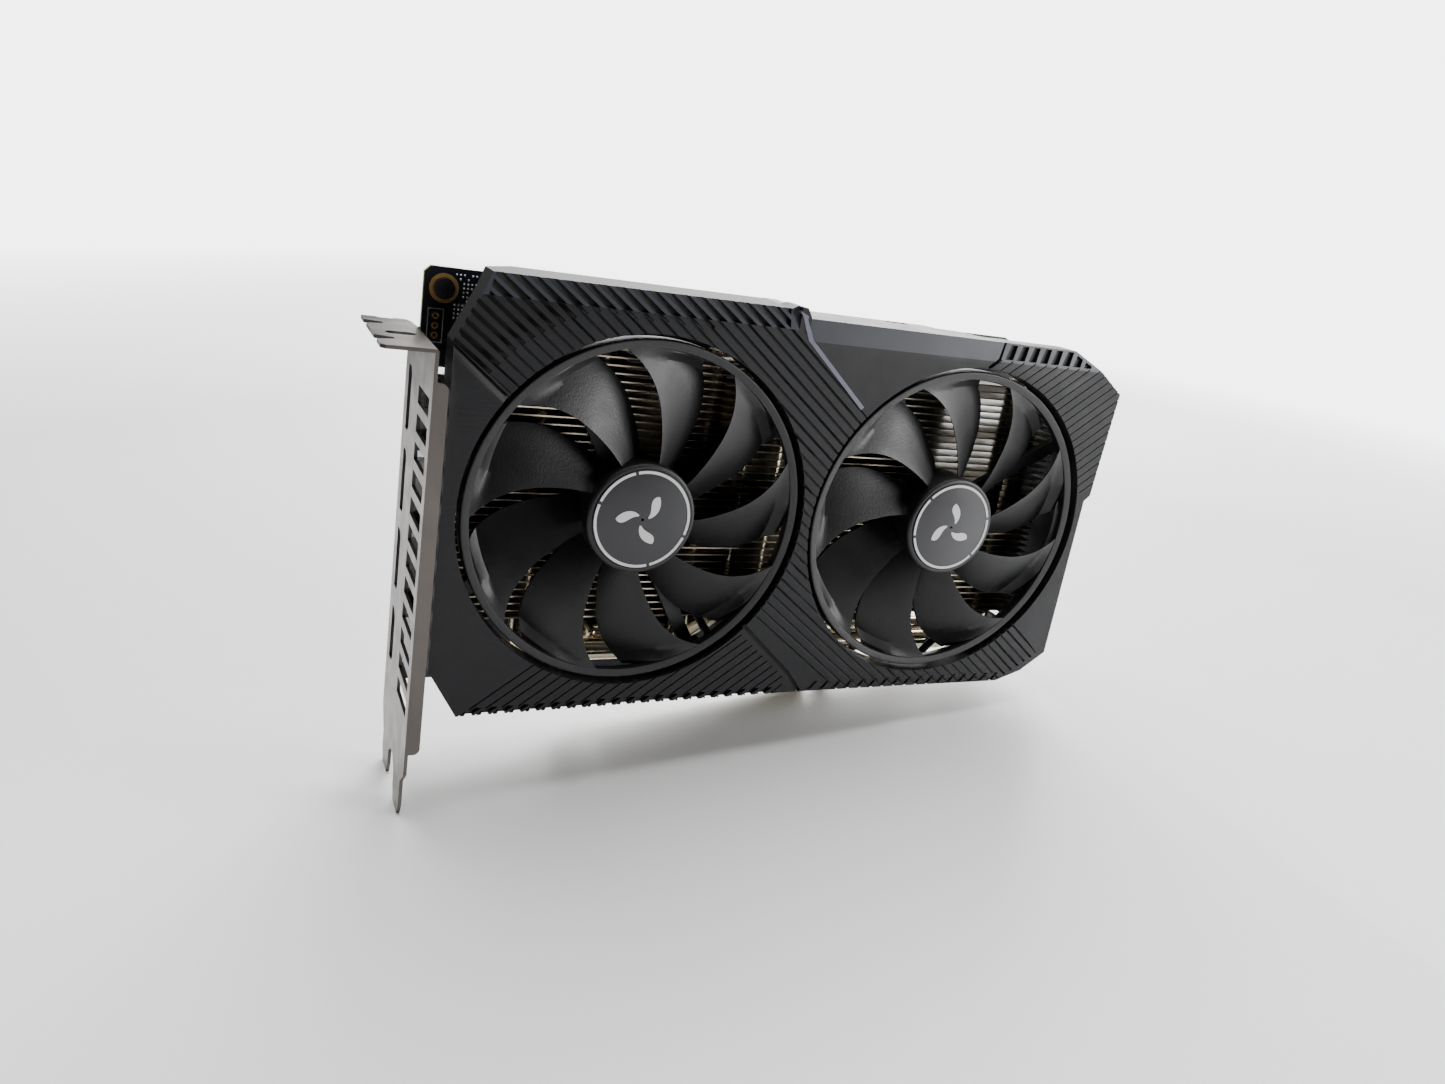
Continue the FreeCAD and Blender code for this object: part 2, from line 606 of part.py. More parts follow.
def inset(points, distance):
    """A simple inner copy of an outline: every point moves towards the middle."""
    moved = []
    for x, z in points:
        dx = distance if x < SHROUD_MIDDLE[0] - 60 else -distance if x > SHROUD_MIDDLE[0] + 60 else 0
        dz = distance if z < SHROUD_MIDDLE[1] - 20 else -distance if z > SHROUD_MIDDLE[1] + 20 else 0
        moved.append((x + dx, z + dz))
    return moved


def fan_lugs(side):
    """Screw places round one fan, as (x, z) points."""
    x, z = FAN_CENTRES[side]
    return [(x + LUG_RADIUS * math.cos(math.radians(a)), z + LUG_RADIUS * math.sin(math.radians(a)))
            for a in STRUT_ANGLES]


def shroud():
    """Front cover: skin with two fan openings, rim walls, fan collars, bosses and posts."""
    skin = plate_xz(SHROUD_OUTLINE, 0, SHROUD_SKIN)
    walls = plate_xz(SHROUD_OUTLINE, 0, END_WALL_BACK).cut(
        plate_xz(inset(SHROUD_OUTLINE, SHROUD_WALL), -1, END_WALL_BACK + 1))
    highest = max(z for x, z in SHROUD_OUTLINE)
    rim = walls.common(block(0, CARD_LENGTH, 0, SHROUD_DEPTH, 0, highest))
    top_wall = walls.common(plate_xy(TOP_WALL_EDGE, TOP_WALL_LOWEST, SHROUD_OUTLINE[0][1]))
    end_wall = walls.common(block(END_WALL_LEFT, CARD_LENGTH, 0, END_WALL_BACK, *END_WALL_SPAN))
    collars = [tube_y(x, z, OPENING_RADIUS + 1.2, OPENING_RADIUS, 0, 7.0) for x, z in FAN_CENTRES.values()]
    bosses = [round_y(x, z, 2.8, 0.5, 9.0) for side in FAN_CENTRES for x, z in fan_lugs(side)]
    posts = [round_y(x, z, 2.6, 0.5, BOARD_FRONT) for x, z in POST_PLACES]
    posts += [round_y(x, z, 2.6, 0.5, BACKPLATE_FRONT) for x, z in RIGHT_POSTS]
    body = join([skin, rim, top_wall, end_wall] + collars + bosses + posts)
    openings = [round_y(x, z, OPENING_RADIUS, -1, 9.5) for x, z in FAN_CENTRES.values()]
    holes = [round_y(x, z, 0.9, 4.0, 10.0) for side in FAN_CENTRES for x, z in fan_lugs(side)]
    holes += [round_y(x, z, 1.25, BOARD_FRONT - 6, BACKPLATE_FRONT + 1) for x, z in POST_PLACES + RIGHT_POSTS]
    return cut_all(body, openings + holes + [accent_strip()])


ACCENT_OUTLINE = [(88.4, 137.2), (91.0, 136.0), (90.9, 135.2), (93.6, 130.2), (112.4, 114.2),
                  (111.6, 113.4), (92.2, 130.0), (89.4, 135.8)]


def accent_strip():
    """Narrow coloured inlay that runs down from the top edge between the fans."""
    return plate_xz(ACCENT_OUTLINE, -0.1, 1.2)


# ---- fans ----------------------------------------------------------------------------
def fan_frame(side):
    """Motor base on four struts that end in screw lugs."""
    x, z = FAN_CENTRES[side]
    base = round_y(x, z, 13.8, STRUT_FRONT, STRUT_FRONT + 1.4)
    tube = round_y(x, z, 3.6, 3.6, STRUT_FRONT)
    arms = []
    for angle in STRUT_ANGLES:
        arm = block(x + 12.0, x + LUG_RADIUS, STRUT_FRONT, STRUT_BACK, z - 1.9, z + 1.9)
        arm.rotate(V(x, 0, z), V(0, 1, 0), -angle)
        arms.append(arm)
    lugs = [round_y(lx, lz, 3.2, 9.0, STRUT_BACK) for lx, lz in fan_lugs(side)]
    body = join([base, tube] + arms + lugs)
    holes = [round_y(x, z, 2.6, 3.0, STRUT_FRONT + 0.4)]
    holes += [round_y(lx, lz, 0.9, 8.0, STRUT_BACK + 1) for lx, lz in fan_lugs(side)]
    return cut_all(body, holes)


def fan_screws():
    """Screws that hold both fan frames to the shroud's bosses."""
    return [screw_y(x, z, 2.1, STRUT_BACK, STRUT_BACK + 0.7, 0.9, 4.5)
            for side in FAN_CENTRES for x, z in fan_lugs(side)]


def fan_bearing(side):
    """Sleeve bearing pressed in the frame's tube."""
    x, z = FAN_CENTRES[side]
    return tube_y(x, z, 2.6, SHAFT_RADIUS + SHAFT_CLEARANCE, 3.6, STRUT_FRONT)


def fan_stator(side):
    """Laminated core with six poles on the frame's tube."""
    x, z = FAN_CENTRES[side]
    pieces = [tube_y(x, z, 5.2, 3.6, 4.2, 7.8)]
    shoes = tube_y(x, z, 10.4, 9.4, 4.2, 7.8)
    for k in range(6):
        tooth = block(x + 4.6, x + 9.9, 4.2, 7.8, z - 0.9, z + 0.9)
        tooth.rotate(V(x, 0, z), V(0, 1, 0), 60 * k)
        pieces.append(tooth)
        gap = block(x + 8.6, x + 11.5, 3.5, 8.5, z - 0.9, z + 0.9)
        gap.rotate(V(x, 0, z), V(0, 1, 0), 60 * k + 30)
        shoes = shoes.cut(gap)
    return join(pieces + [shoes])


def fan_coils(side):
    """Copper windings round the stator's poles."""
    x, z = FAN_CENTRES[side]
    coils = []
    for k in range(6):
        coil = block(x + 5.9, x + 8.9, 3.4, 8.6, z - 1.9, z + 1.9)
        coil = coil.cut(block(x + 5, x + 10, 4.2, 7.8, z - 0.9, z + 0.9))
        coil.rotate(V(x, 0, z), V(0, 1, 0), 60 * k)
        coils.append(coil)
    return coils


def fan_board(side):
    """Small drive board behind the stator."""
    x, z = FAN_CENTRES[side]
    return tube_y(x, z, 10.2, 3.6, 8.9, 9.7)


LEAD_LEVEL = 11.4              # depth at which the cables cross the fins
LEAD_RADIUS = 1.2
LEAD_BEND = 4.0
# Corners of each cable, as (across, down) from its fan's axis.
LEAD_TURNS = {"left": [(8.9, 8.7), (29.5, 37.6)], "right": [(3.6, 11.6), (16.4, 37.6), (6.0, 50.0)]}


def fan_lead(side):
    """Cable from the motor base, past the fins, to its socket on the board."""
    x, z = FAN_CENTRES[side]
    header_x, header_z = HEADER_PLACES[side]
    route = [V(x + across, LEAD_LEVEL, z - down) for across, down in LEAD_TURNS[side]]
    route += [V(header_x, LEAD_LEVEL, header_z), V(header_x, HEADER_FRONT, header_z)]
    return rod_along(route, LEAD_RADIUS, LEAD_BEND)


def blade_section(radius, lead_angle, trail_angle, thickness):
    """Closed outline of a blade where it crosses a plane at one radius from the axis."""
    middle = math.radians((lead_angle + trail_angle) / 2)
    outwards = V(math.cos(middle), 0, math.sin(middle))
    sideways = V(-math.sin(middle), 0, math.cos(middle))
    half = radius * math.radians(lead_angle - trail_angle) / 2
    depth = BLADE_BACK - BLADE_FRONT
    front, back = [], []
    for share in (0.0, 0.33, 0.67, 1.0):
        along = half * (1 - 2 * share)
        y = BLADE_FRONT + (depth - thickness) * share ** 1.15
        belly = thickness * (0.55 + 0.45 * math.sin(math.pi * share))
        front.append(outwards * radius + sideways * along + V(0, y, 0))
        back.append(outwards * radius + sideways * along + V(0, y + belly, 0))
    points = front + back[::-1]
    return Part.makePolygon(points + points[:1])


BLADE_STATIONS = [(12.9, -25.5, -56.0, 1.5), (23.0, -19.5, -48.0, 1.3), (31.5, -14.0, -42.0, 1.1),
                  (38.5, -7.0, -35.5, 1.0), (42.6, -1.5, -29.5, 1.0)]


def impeller(side):
    """Hub shell, nine swept blades and the outer ring, in one moulding."""
    x, z = FAN_CENTRES[side]
    hub = round_y(0, 0, HUB_RADIUS, HUB_FRONT, BLADE_BACK + 0.2)
    hub = hub.makeFillet(1.0, [e for e in hub.Edges if abs(e.BoundBox.YMax - HUB_FRONT) < 0.01])
    blade = Part.makeLoft([blade_section(*station) for station in BLADE_STATIONS], True, True)
    blades = []
    for k in range(BLADE_COUNT):
        turned = blade.copy()
        turned.rotate(V(0, 0, 0), V(0, 1, 0), -(FAN_TURN[side] + k * 360.0 / BLADE_COUNT))
        blades.append(turned)
    profile = [V(RING_INNER + 0.3, 1.2, 0), V(RING_OUTER - 0.4, 1.2, 0), V(RING_OUTER, 1.6, 0),
               V(RING_OUTER, 6.2, 0), V(RING_OUTER - 1.1, 6.2, 0), V(RING_INNER, 2.2, 0)]
    ring = Part.Face(Part.makePolygon(profile + profile[:1])).revolve(V(0, 0, 0), V(0, 1, 0), 360)
    body = join([hub, ring] + blades)
    body = body.cut(round_y(0, 0, 12.9, 0.4, BLADE_BACK + 1))
    body.translate(V(x, 0, z))
    return body.Solids[0]


BADGE_TURN = {"left": 132.5, "right": 166.0}
BADGE_GAPS = (28.0, 152.0, 208.0, 332.0)


def hub_badge(side):
    """Flat disc on the hub's face, with a raised ring in four arcs."""
    x, z = FAN_CENTRES[side]
    disc = round_y(x, z, 13.0, HUB_FRONT - 0.3, HUB_FRONT)
    ring = tube_y(x, z, 12.75, 12.15, HUB_FRONT - 0.42, HUB_FRONT - 0.3)
    gaps = []
    for offset in BADGE_GAPS:
        angle = BADGE_TURN[side] + offset
        gap = block(x + 11, x + 14, HUB_FRONT - 1, HUB_FRONT - 0.3, z - 0.35, z + 0.35)
        gap.rotate(V(x, 0, z), V(0, 1, 0), -angle)
        gaps.append(gap)
    return disc.fuse(cut_all(ring, gaps)).removeSplitter()


def rotor_cup(side):
    """Steel yoke inside the hub, with the boss that holds the shaft."""
    x, z = FAN_CENTRES[side]
    cup = round_y(x, z, 12.9, 0.4, 9.2).cut(round_y(x, z, 12.2, 1.0, 10))
    boss = round_y(x, z, 2.8, 0.9, 3.2)
    return join([cup, boss]).cut(round_y(x, z, SHAFT_RADIUS, 0, 4))


def rotor_magnet(side):
    """Ring magnet in the yoke."""
    x, z = FAN_CENTRES[side]
    return tube_y(x, z, 12.2, 10.9, 2.0, 8.9)


def rotor_shaft(side):
    """Steel shaft that runs in the sleeve bearing."""
    x, z = FAN_CENTRES[side]
    return round_y(x, z, SHAFT_RADIUS, 0.4, STRUT_FRONT)


# ---- export --------------------------------------------------------------------------
def build():
    """Writes every sub-part."""
    export("circuit_board", circuit_board())
    export("edge_contacts", edge_contacts())
    export("screw_pads", screw_pads())
    export("board_screws", board_screws())
    export("gpu_package", gpu_package())
    export("gpu_die", gpu_die())
    export("gpu_paste", gpu_paste())
    export("memory_chips", memory_chips())
    export("memory_pads", memory_pads())
    export("inductors", inductors())
    export("power_stages", power_stages())
    export("capacitors", capacitors())
    export("control_chips", control_chips())
    export("fan_headers", fan_headers())
    export("power_socket", power_socket())
    export("power_pins", power_pins())
    export("displayport_shells", [port_shell(z, *DISPLAYPORT_MOUTH) for z in DISPLAYPORT_Z])
    export("displayport_cores", [port_core(z, *DISPLAYPORT_MOUTH) for z in DISPLAYPORT_Z])
    export("hdmi_shell", port_shell(HDMI_Z, *HDMI_MOUTH))
    export("hdmi_core", port_core(HDMI_Z, *HDMI_MOUTH))
    export("io_bracket", io_bracket())
    export("bracket_screws", bracket_screws())
    export("cold_plate", cold_plate())
    export("pipe_block", pipe_block())
    for name, (far, near, run_y) in PIPES.items():
        export("heat_pipe_" + name, heat_pipe(far, near, run_y))
    for side, (left, right) in FIN_SPANS.items():
        export("fin_stack_" + side, fin_stack(left, right))
    export("gpu_springs", gpu_springs())
    export("gpu_screws", gpu_screws())
    export("backplate", backplate())
    export("backplate_screws", backplate_screws())
    export("shroud", shroud())
    export("accent_strip", accent_strip())
    export("fan_screws", fan_screws())
    for side in FAN_CENTRES:
        export("fan_frame_" + side, fan_frame(side))
        export("fan_bearing_" + side, fan_bearing(side))
        export("fan_stator_" + side, fan_stator(side))
        export("fan_coils_" + side, fan_coils(side))
        export("fan_board_" + side, fan_board(side))
        export("fan_lead_" + side, fan_lead(side))
        export("impeller_" + side, impeller(side))
        export("hub_badge_" + side, hub_badge(side))
        export("rotor_cup_" + side, rotor_cup(side))
        export("rotor_magnet_" + side, rotor_magnet(side))
        export("rotor_shaft_" + side, rotor_shaft(side))


build()
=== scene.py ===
import math
import random

import bmesh
import bpy
from mathutils import Matrix, Vector


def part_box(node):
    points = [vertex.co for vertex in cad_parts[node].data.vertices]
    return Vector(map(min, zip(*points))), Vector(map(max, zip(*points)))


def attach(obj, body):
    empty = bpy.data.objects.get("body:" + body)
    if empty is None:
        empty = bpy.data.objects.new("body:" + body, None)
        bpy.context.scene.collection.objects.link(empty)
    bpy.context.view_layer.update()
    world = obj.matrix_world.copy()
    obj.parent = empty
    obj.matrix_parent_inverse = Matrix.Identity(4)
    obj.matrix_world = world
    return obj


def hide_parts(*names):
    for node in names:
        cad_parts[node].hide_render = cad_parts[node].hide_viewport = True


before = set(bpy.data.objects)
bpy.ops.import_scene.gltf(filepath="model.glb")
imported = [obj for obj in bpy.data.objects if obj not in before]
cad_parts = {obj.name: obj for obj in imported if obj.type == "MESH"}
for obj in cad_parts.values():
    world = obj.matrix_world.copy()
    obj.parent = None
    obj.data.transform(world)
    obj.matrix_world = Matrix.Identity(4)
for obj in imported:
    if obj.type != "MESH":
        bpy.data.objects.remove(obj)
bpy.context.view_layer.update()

# Looks of a two-fan graphics card. Sizes in millimetres are in the design frame: x from the
# bracket's outer face, y from the shroud's front face towards the board, z up from the tails.
MM = 0.001
CARD_LENGTH = 200.0
SHROUD_LOW, SHROUD_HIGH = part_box("shroud")
LEFT = SHROUD_HIGH[0] - CARD_LENGTH * MM
FRONT = SHROUD_LOW[1]
SIDES = ("left", "right")
FAN_X = {"left": 54.0, "right": 149.1}
FAN_Z = 81.6
OPENING_RADIUS = 46.1
CUTTER_FRONT = -1.2         # cutters start this far in front of the shroud's face


def at(x, y, z):
    """A design point in millimetres as a point of the row frame in metres."""
    return Vector((LEFT + x * MM, FRONT + y * MM, z * MM))


# ---- mesh helpers --------------------------------------------------------------------------
def new_piece(name, bm, smooth=None):
    """An object from a bmesh, shaded smooth below an angle in degrees."""
    bmesh.ops.recalc_face_normals(bm, faces=bm.faces)
    mesh = bpy.data.meshes.new(name)
    bm.to_mesh(mesh)
    bm.free()
    piece = bpy.data.objects.new(name, mesh)
    bpy.context.scene.collection.objects.link(piece)
    if smooth:
        shade(piece, smooth)
    return piece


def shade(piece, degrees):
    """Smooth shading, with edges sharper than the angle kept sharp."""
    mesh = piece.data
    mesh.polygons.foreach_set("use_smooth", [True] * len(mesh.polygons))
    bm = bmesh.new()
    bm.from_mesh(mesh)
    limit = math.radians(degrees)
    for edge in bm.edges:
        edge.smooth = len(edge.link_faces) == 2 and edge.calc_face_angle(0.0) < limit
    bm.to_mesh(mesh)
    bm.free()


def settle(piece):
    """Applies a piece's modifiers."""
    graph = bpy.context.evaluated_depsgraph_get()
    mesh = bpy.data.meshes.new_from_object(piece.evaluated_get(graph))
    piece.modifiers.clear()
    piece.data = mesh


def carve(piece, cutter):
    """Takes the cutter away from the piece."""
    modifier = piece.modifiers.new("carve", "BOOLEAN")
    modifier.operation = "DIFFERENCE"
    modifier.solver = "MANIFOLD"
    modifier.object = cutter
    settle(piece)
    bpy.data.objects.remove(cutter)


def smoothstep(value):
    """Eases from 0 to 1."""
    value = min(1.0, max(0.0, value))
    return value * value * (3 - 2 * value)


def clip(points, a, b):
    """The part of an (x, z) outline that lies to the left of the line from a to b."""
    def side(p):
        return (b[0] - a[0]) * (p[1] - a[1]) - (b[1] - a[1]) * (p[0] - a[0])

    kept = []
    for p, q in zip(points, points[1:] + points[:1]):
        if side(p) >= 0:
            kept.append(p)
        if (side(p) >= 0) != (side(q) >= 0):
            share = side(p) / (side(p) - side(q))
            kept.append((p[0] + (q[0] - p[0]) * share, p[1] + (q[1] - p[1]) * share))
    return kept


def clip_to(points, zone):
    """The part of an outline inside a convex zone whose corners run counterclockwise."""
    for a, b in zip(zone, zone[1:] + zone[:1]):
        if len(points) > 2:
            points = clip(points, a, b)
    return points if len(points) > 2 else []


def add_cut(bm, outline, floor):
    """A closed cutter over an outline, from in front of the face down to floor(x, z)."""
    if not outline:
        return
    front = [bm.verts.new(at(x, CUTTER_FRONT, z)) for x, z in outline]
    back = [bm.verts.new(at(x, floor(x, z), z)) for x, z in outline]
    bm.faces.new(front)
    bm.faces.new(back[::-1])
    for i in range(len(outline)):
        j = (i + 1) % len(outline)
        bm.faces.new((front[j], front[i], back[i], back[j]))


def lathe(bm, profile, centre, steps=160):
    """A closed ring or disc about the fan's axis. Profile points are (radius, y)."""
    rings = []
    for i in range(steps):
        angle = math.tau * i / steps
        rings.append([bm.verts.new(centre + Vector((r * math.cos(angle), y, r * math.sin(angle))) * MM)
                      for r, y in profile])
    for i in range(steps):
        here, there = rings[i], rings[(i + 1) % steps]
        for j in range(len(profile)):
            k = (j + 1) % len(profile)
            bm.faces.new((here[j], here[k], there[k], there[j]))


def arc_profile(centre_r, centre_y, radius, start, end, steps=5):
    """Points of a rounded corner in a lathe's profile, from one angle to another, in degrees."""
    points = []
    for i in range(steps + 1):
        angle = math.radians(start + (end - start) * i / steps)
        points.append((centre_r + radius * math.cos(angle), centre_y + radius * math.sin(angle)))
    return points


# ---- materials -----------------------------------------------------------------------------
MOTTLE_SCALE = 90.0         # noise cells per metre
SPREAD_SCALE = 160.0


def material(name, color, roughness, metallic=0.0, grain=(0.0, 0.0), mottle=0.0, spread=0.0):
    """A surface with a fine bump, uneven colour and uneven gloss.

    grain is (size in mm, height in mm); mottle is the share that the colour varies by and
    spread what the roughness varies by.
    """
    made = bpy.data.materials.new(name)
    made.use_nodes = True
    nodes, links = made.node_tree.nodes, made.node_tree.links
    shader = nodes["Principled BSDF"]
    shader.inputs["Metallic"].default_value = metallic
    shader.inputs["Roughness"].default_value = roughness
    shader.inputs["Base Color"].default_value = (*color, 1.0)
    place = nodes.new("ShaderNodeTexCoord")
    if mottle:
        cloud = nodes.new("ShaderNodeTexNoise")
        cloud.inputs["Scale"].default_value = MOTTLE_SCALE
        cloud.inputs["Detail"].default_value = 6.0
        links.new(place.outputs["Object"], cloud.inputs["Vector"])
        ramp = nodes.new("ShaderNodeValToRGB")
        ramp.color_ramp.elements[0].position = 0.3
        ramp.color_ramp.elements[1].position = 0.7
        ramp.color_ramp.elements[0].color = (*[c * (1 - mottle) for c in color], 1.0)
        ramp.color_ramp.elements[1].color = (*[min(1.0, c * (1 + mottle)) for c in color], 1.0)
        links.new(cloud.outputs["Fac"], ramp.inputs["Fac"])
        links.new(ramp.outputs["Color"], shader.inputs["Base Color"])
    if spread:
        patch = nodes.new("ShaderNodeTexNoise")
        patch.inputs["Scale"].default_value = SPREAD_SCALE
        patch.inputs["Detail"].default_value = 8.0
        links.new(place.outputs["Object"], patch.inputs["Vector"])
        reach = nodes.new("ShaderNodeMapRange")
        reach.inputs["From Min"].default_value = 0.3
        reach.inputs["From Max"].default_value = 0.7
        reach.inputs["To Min"].default_value = roughness - spread
        reach.inputs["To Max"].default_value = roughness + spread
        links.new(patch.outputs["Fac"], reach.inputs["Value"])
        links.new(reach.outputs["Result"], shader.inputs["Roughness"])
    if grain[1]:
        sand = nodes.new("ShaderNodeTexNoise")
        sand.inputs["Scale"].default_value = 1.0 / (grain[0] * MM)
        sand.inputs["Detail"].default_value = 3.0
        links.new(place.outputs["Object"], sand.inputs["Vector"])
        bump = nodes.new("ShaderNodeBump")
        bump.inputs["Strength"].default_value = 1.0
        bump.inputs["Distance"].default_value = grain[1] * MM
        links.new(sand.outputs["Fac"], bump.inputs["Height"])
        links.new(bump.outputs["Normal"], shader.inputs["Normal"])
    return made


def dress(finish, *names):
    """Gives CAD nodes a material."""
    for name in names:
        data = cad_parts[name].data
        data.materials.clear()
        data.materials.append(finish)


PLASTIC = (0.0050, 0.0052, 0.0066)
shroud_plastic = material("shroud_plastic", PLASTIC, 0.50, grain=(0.45, 0.034), mottle=0.08, spread=0.05)
# The sloping bands' plastic is painted lighter than the shroud's: painted light from above on faces that tilt
# up.
bevel_painted_light = material("bevel_painted_light", (0.038, 0.041, 0.050), 0.40, grain=(0.30, 0.012), mottle=0.06,
                         spread=0.05)
# Groove plastic, painted a little darker and rougher than the face: painted shade in the recesses.
recess_painted_shade = material("recess_painted_shade", (0.0050, 0.0050, 0.0058), 0.65, grain=(0.28, 0.012), mottle=0.08)
fan_plastic = material("fan_plastic", (0.0036, 0.0037, 0.0045), 0.46, grain=(0.55, 0.060), mottle=0.06,
                       spread=0.04)
badge_satin = material("badge_satin", (0.018, 0.018, 0.021), 0.36, grain=(0.2, 0.002), spread=0.03)
ring_white = material("ring_white", (0.60, 0.60, 0.61), 0.40, grain=(0.2, 0.002), mottle=0.02)
accent_lilac = material("accent_lilac", (0.14, 0.135, 0.185), 0.38, metallic=0.15, grain=(0.2, 0.004),
                        mottle=0.04)
bracket_steel = material("bracket_steel", (0.130, 0.117, 0.107), 0.36, metallic=1.0, grain=(0.5, 0.003),
                         mottle=0.04, spread=0.06)
port_steel = material("port_steel", (0.62, 0.61, 0.60), 0.28, metallic=1.0, grain=(0.4, 0.002), spread=0.05)
nickel = material("nickel", (0.80, 0.72, 0.55), 0.20, metallic=1.0, grain=(0.8, 0.004), mottle=0.06,
                  spread=0.05)
gold = material("gold", (0.98, 0.58, 0.20), 0.30, metallic=0.75, grain=(0.3, 0.002), mottle=0.10, spread=0.05)
contact_gold = material("contact_gold", (0.86, 0.62, 0.25), 0.22, metallic=1.0, grain=(0.3, 0.001),
                        spread=0.04)
dark_steel = material("dark_steel", (0.16, 0.16, 0.17), 0.30, metallic=1.0, grain=(0.3, 0.002), spread=0.06)
black_nylon = material("black_nylon", (0.016, 0.016, 0.018), 0.48, grain=(0.25, 0.006), mottle=0.05,
                       spread=0.05)
chip_epoxy = material("chip_epoxy", (0.022, 0.022, 0.024), 0.55, grain=(0.2, 0.005), mottle=0.08)
ferrite = material("ferrite", (0.13, 0.13, 0.14), 0.60, grain=(0.3, 0.012), mottle=0.12)
bright_can = material("bright_can", (0.90, 0.90, 0.91), 0.32, metallic=1.0, grain=(0.3, 0.001), spread=0.05)
silicon = material("silicon", (0.08, 0.08, 0.10), 0.12, metallic=0.4, spread=0.02)
carrier = material("carrier", (0.02, 0.07, 0.04), 0.45, grain=(0.3, 0.003), mottle=0.08)
silicone_pad = material("silicone_pad", (0.36, 0.40, 0.46), 0.85, grain=(0.4, 0.02), mottle=0.08)
backplate_black = material("backplate_black", (0.026, 0.026, 0.029), 0.44, grain=(0.22, 0.010), mottle=0.06,
                           spread=0.05)
bronze = material("bronze", (0.52, 0.33, 0.16), 0.42, metallic=1.0, grain=(0.2, 0.004), mottle=0.1)
copper_wire = material("copper_wire", (0.72, 0.28, 0.10), 0.36, metallic=1.0, grain=(0.3, 0.03), mottle=0.1)
magnet = material("magnet", (0.05, 0.05, 0.055), 0.70, grain=(0.2, 0.006), mottle=0.1)
lead_skin = material("lead_skin", (0.018, 0.018, 0.019), 0.50, grain=(0.5, 0.01), mottle=0.05)


def color_by_side(made, axis, broad, edge):
    """Colours a sheet's broad faces, square to an axis, apart from its edges."""
    nodes, links = made.node_tree.nodes, made.node_tree.links
    geometry = nodes.new("ShaderNodeNewGeometry")
    split = nodes.new("ShaderNodeSeparateXYZ")
    size = nodes.new("ShaderNodeMath")
    size.operation = "ABSOLUTE"
    ramp = nodes.new("ShaderNodeValToRGB")
    ramp.color_ramp.interpolation = "CONSTANT"
    ramp.color_ramp.elements[0].color = (*edge, 1.0)
    ramp.color_ramp.elements[1].position = 0.5
    ramp.color_ramp.elements[1].color = (*broad, 1.0)
    links.new(geometry.outputs["True Normal"], split.inputs["Vector"])
    links.new(split.outputs[axis], size.inputs[0])
    links.new(size.outputs["Value"], ramp.inputs["Fac"])
    links.new(ramp.outputs["Color"], nodes["Principled BSDF"].inputs["Base Color"])
    return made


def board_mask():
    """Dark solder mask on the board's faces, pale green laminate on its edges."""
    made = material("board_mask", (0.010, 0.013, 0.021), 0.33, grain=(0.5, 0.004), spread=0.05)
    return color_by_side(made, "Y", (0.008, 0.010, 0.018), (0.44, 0.50, 0.17))


def fin_metal_painted_shade():
    """Aluminium fins with bright cut edges; their broad faces are painted darker, a painted shade for the
    shade the shroud casts on them.
    """
    made = material("fin_metal_painted_shade", (0.4, 0.4, 0.4), 0.36, metallic=1.0, grain=(0.5, 0.003), spread=0.05)
    # The darker colour on faces square to Z is painted shade, not a different metal.
    return color_by_side(made, "Z", (0.24, 0.22, 0.185), (0.72, 0.63, 0.48))


def brushed_plastic():
    """The shroud's plastic with fine slanting brush lines, for its plain left part."""
    made = material("brushed_plastic", PLASTIC, 0.44, mottle=0.06, spread=0.05)
    nodes, links = made.node_tree.nodes, made.node_tree.links
    place = nodes.new("ShaderNodeTexCoord")
    turn = nodes.new("ShaderNodeMapping")
    turn.inputs["Rotation"].default_value = (0.0, math.radians(37.6), 0.0)
    turn.inputs["Scale"].default_value = (60.0, 300.0, 2600.0)
    lines = nodes.new("ShaderNodeTexNoise")
    lines.inputs["Scale"].default_value = 1.0
    lines.inputs["Detail"].default_value = 2.0
    bump = nodes.new("ShaderNodeBump")
    bump.inputs["Strength"].default_value = 1.0
    bump.inputs["Distance"].default_value = 0.00004
    links.new(place.outputs["Object"], turn.inputs["Vector"])
    links.new(turn.outputs["Vector"], lines.inputs["Vector"])
    links.new(lines.outputs["Fac"], bump.inputs["Height"])
    links.new(bump.outputs["Normal"], nodes["Principled BSDF"].inputs["Normal"])
    return made


brushed = brushed_plastic()
for finish in (shroud_plastic, brushed, bevel_painted_light):
    finish.node_tree.nodes["Principled BSDF"].inputs["Specular IOR Level"].default_value = 0.32
dress(board_mask(), "circuit_board")
dress(contact_gold, "edge_contacts", "power_pins")
dress(gold, "screw_pads")
dress(dark_steel, "board_screws", "bracket_screws", "gpu_screws", "gpu_springs", "backplate_screws",
      "fan_screws")
dress(carrier, "gpu_package")
dress(silicon, "gpu_die")
dress(silicone_pad, "gpu_paste", "memory_pads")
dress(chip_epoxy, "memory_chips", "power_stages", "control_chips")
dress(ferrite, "inductors")
dress(bright_can, "capacitors")
dress(black_nylon, "fan_headers", "power_socket", "displayport_cores", "hdmi_core")
dress(port_steel, "displayport_shells", "hdmi_shell")
dress(bracket_steel, "io_bracket")
dress(nickel, "cold_plate", "heat_pipe_outer_left", "heat_pipe_inner_left", "heat_pipe_inner_right",
      "heat_pipe_outer_right")
dress(fin_metal_painted_shade(), "pipe_block", "fin_stack_left", "fin_stack_right")
dress(backplate_black, "backplate")
dress(accent_lilac, "accent_strip")
for side in SIDES:
    dress(black_nylon, "fan_frame_" + side)
    dress(bronze, "fan_bearing_" + side)
    dress(port_steel, "fan_stator_" + side, "rotor_cup_" + side, "rotor_shaft_" + side)
    dress(copper_wire, "fan_coils_" + side)
    dress(carrier, "fan_board_" + side)
    dress(lead_skin, "fan_lead_" + side)
    dress(magnet, "rotor_magnet_" + side)

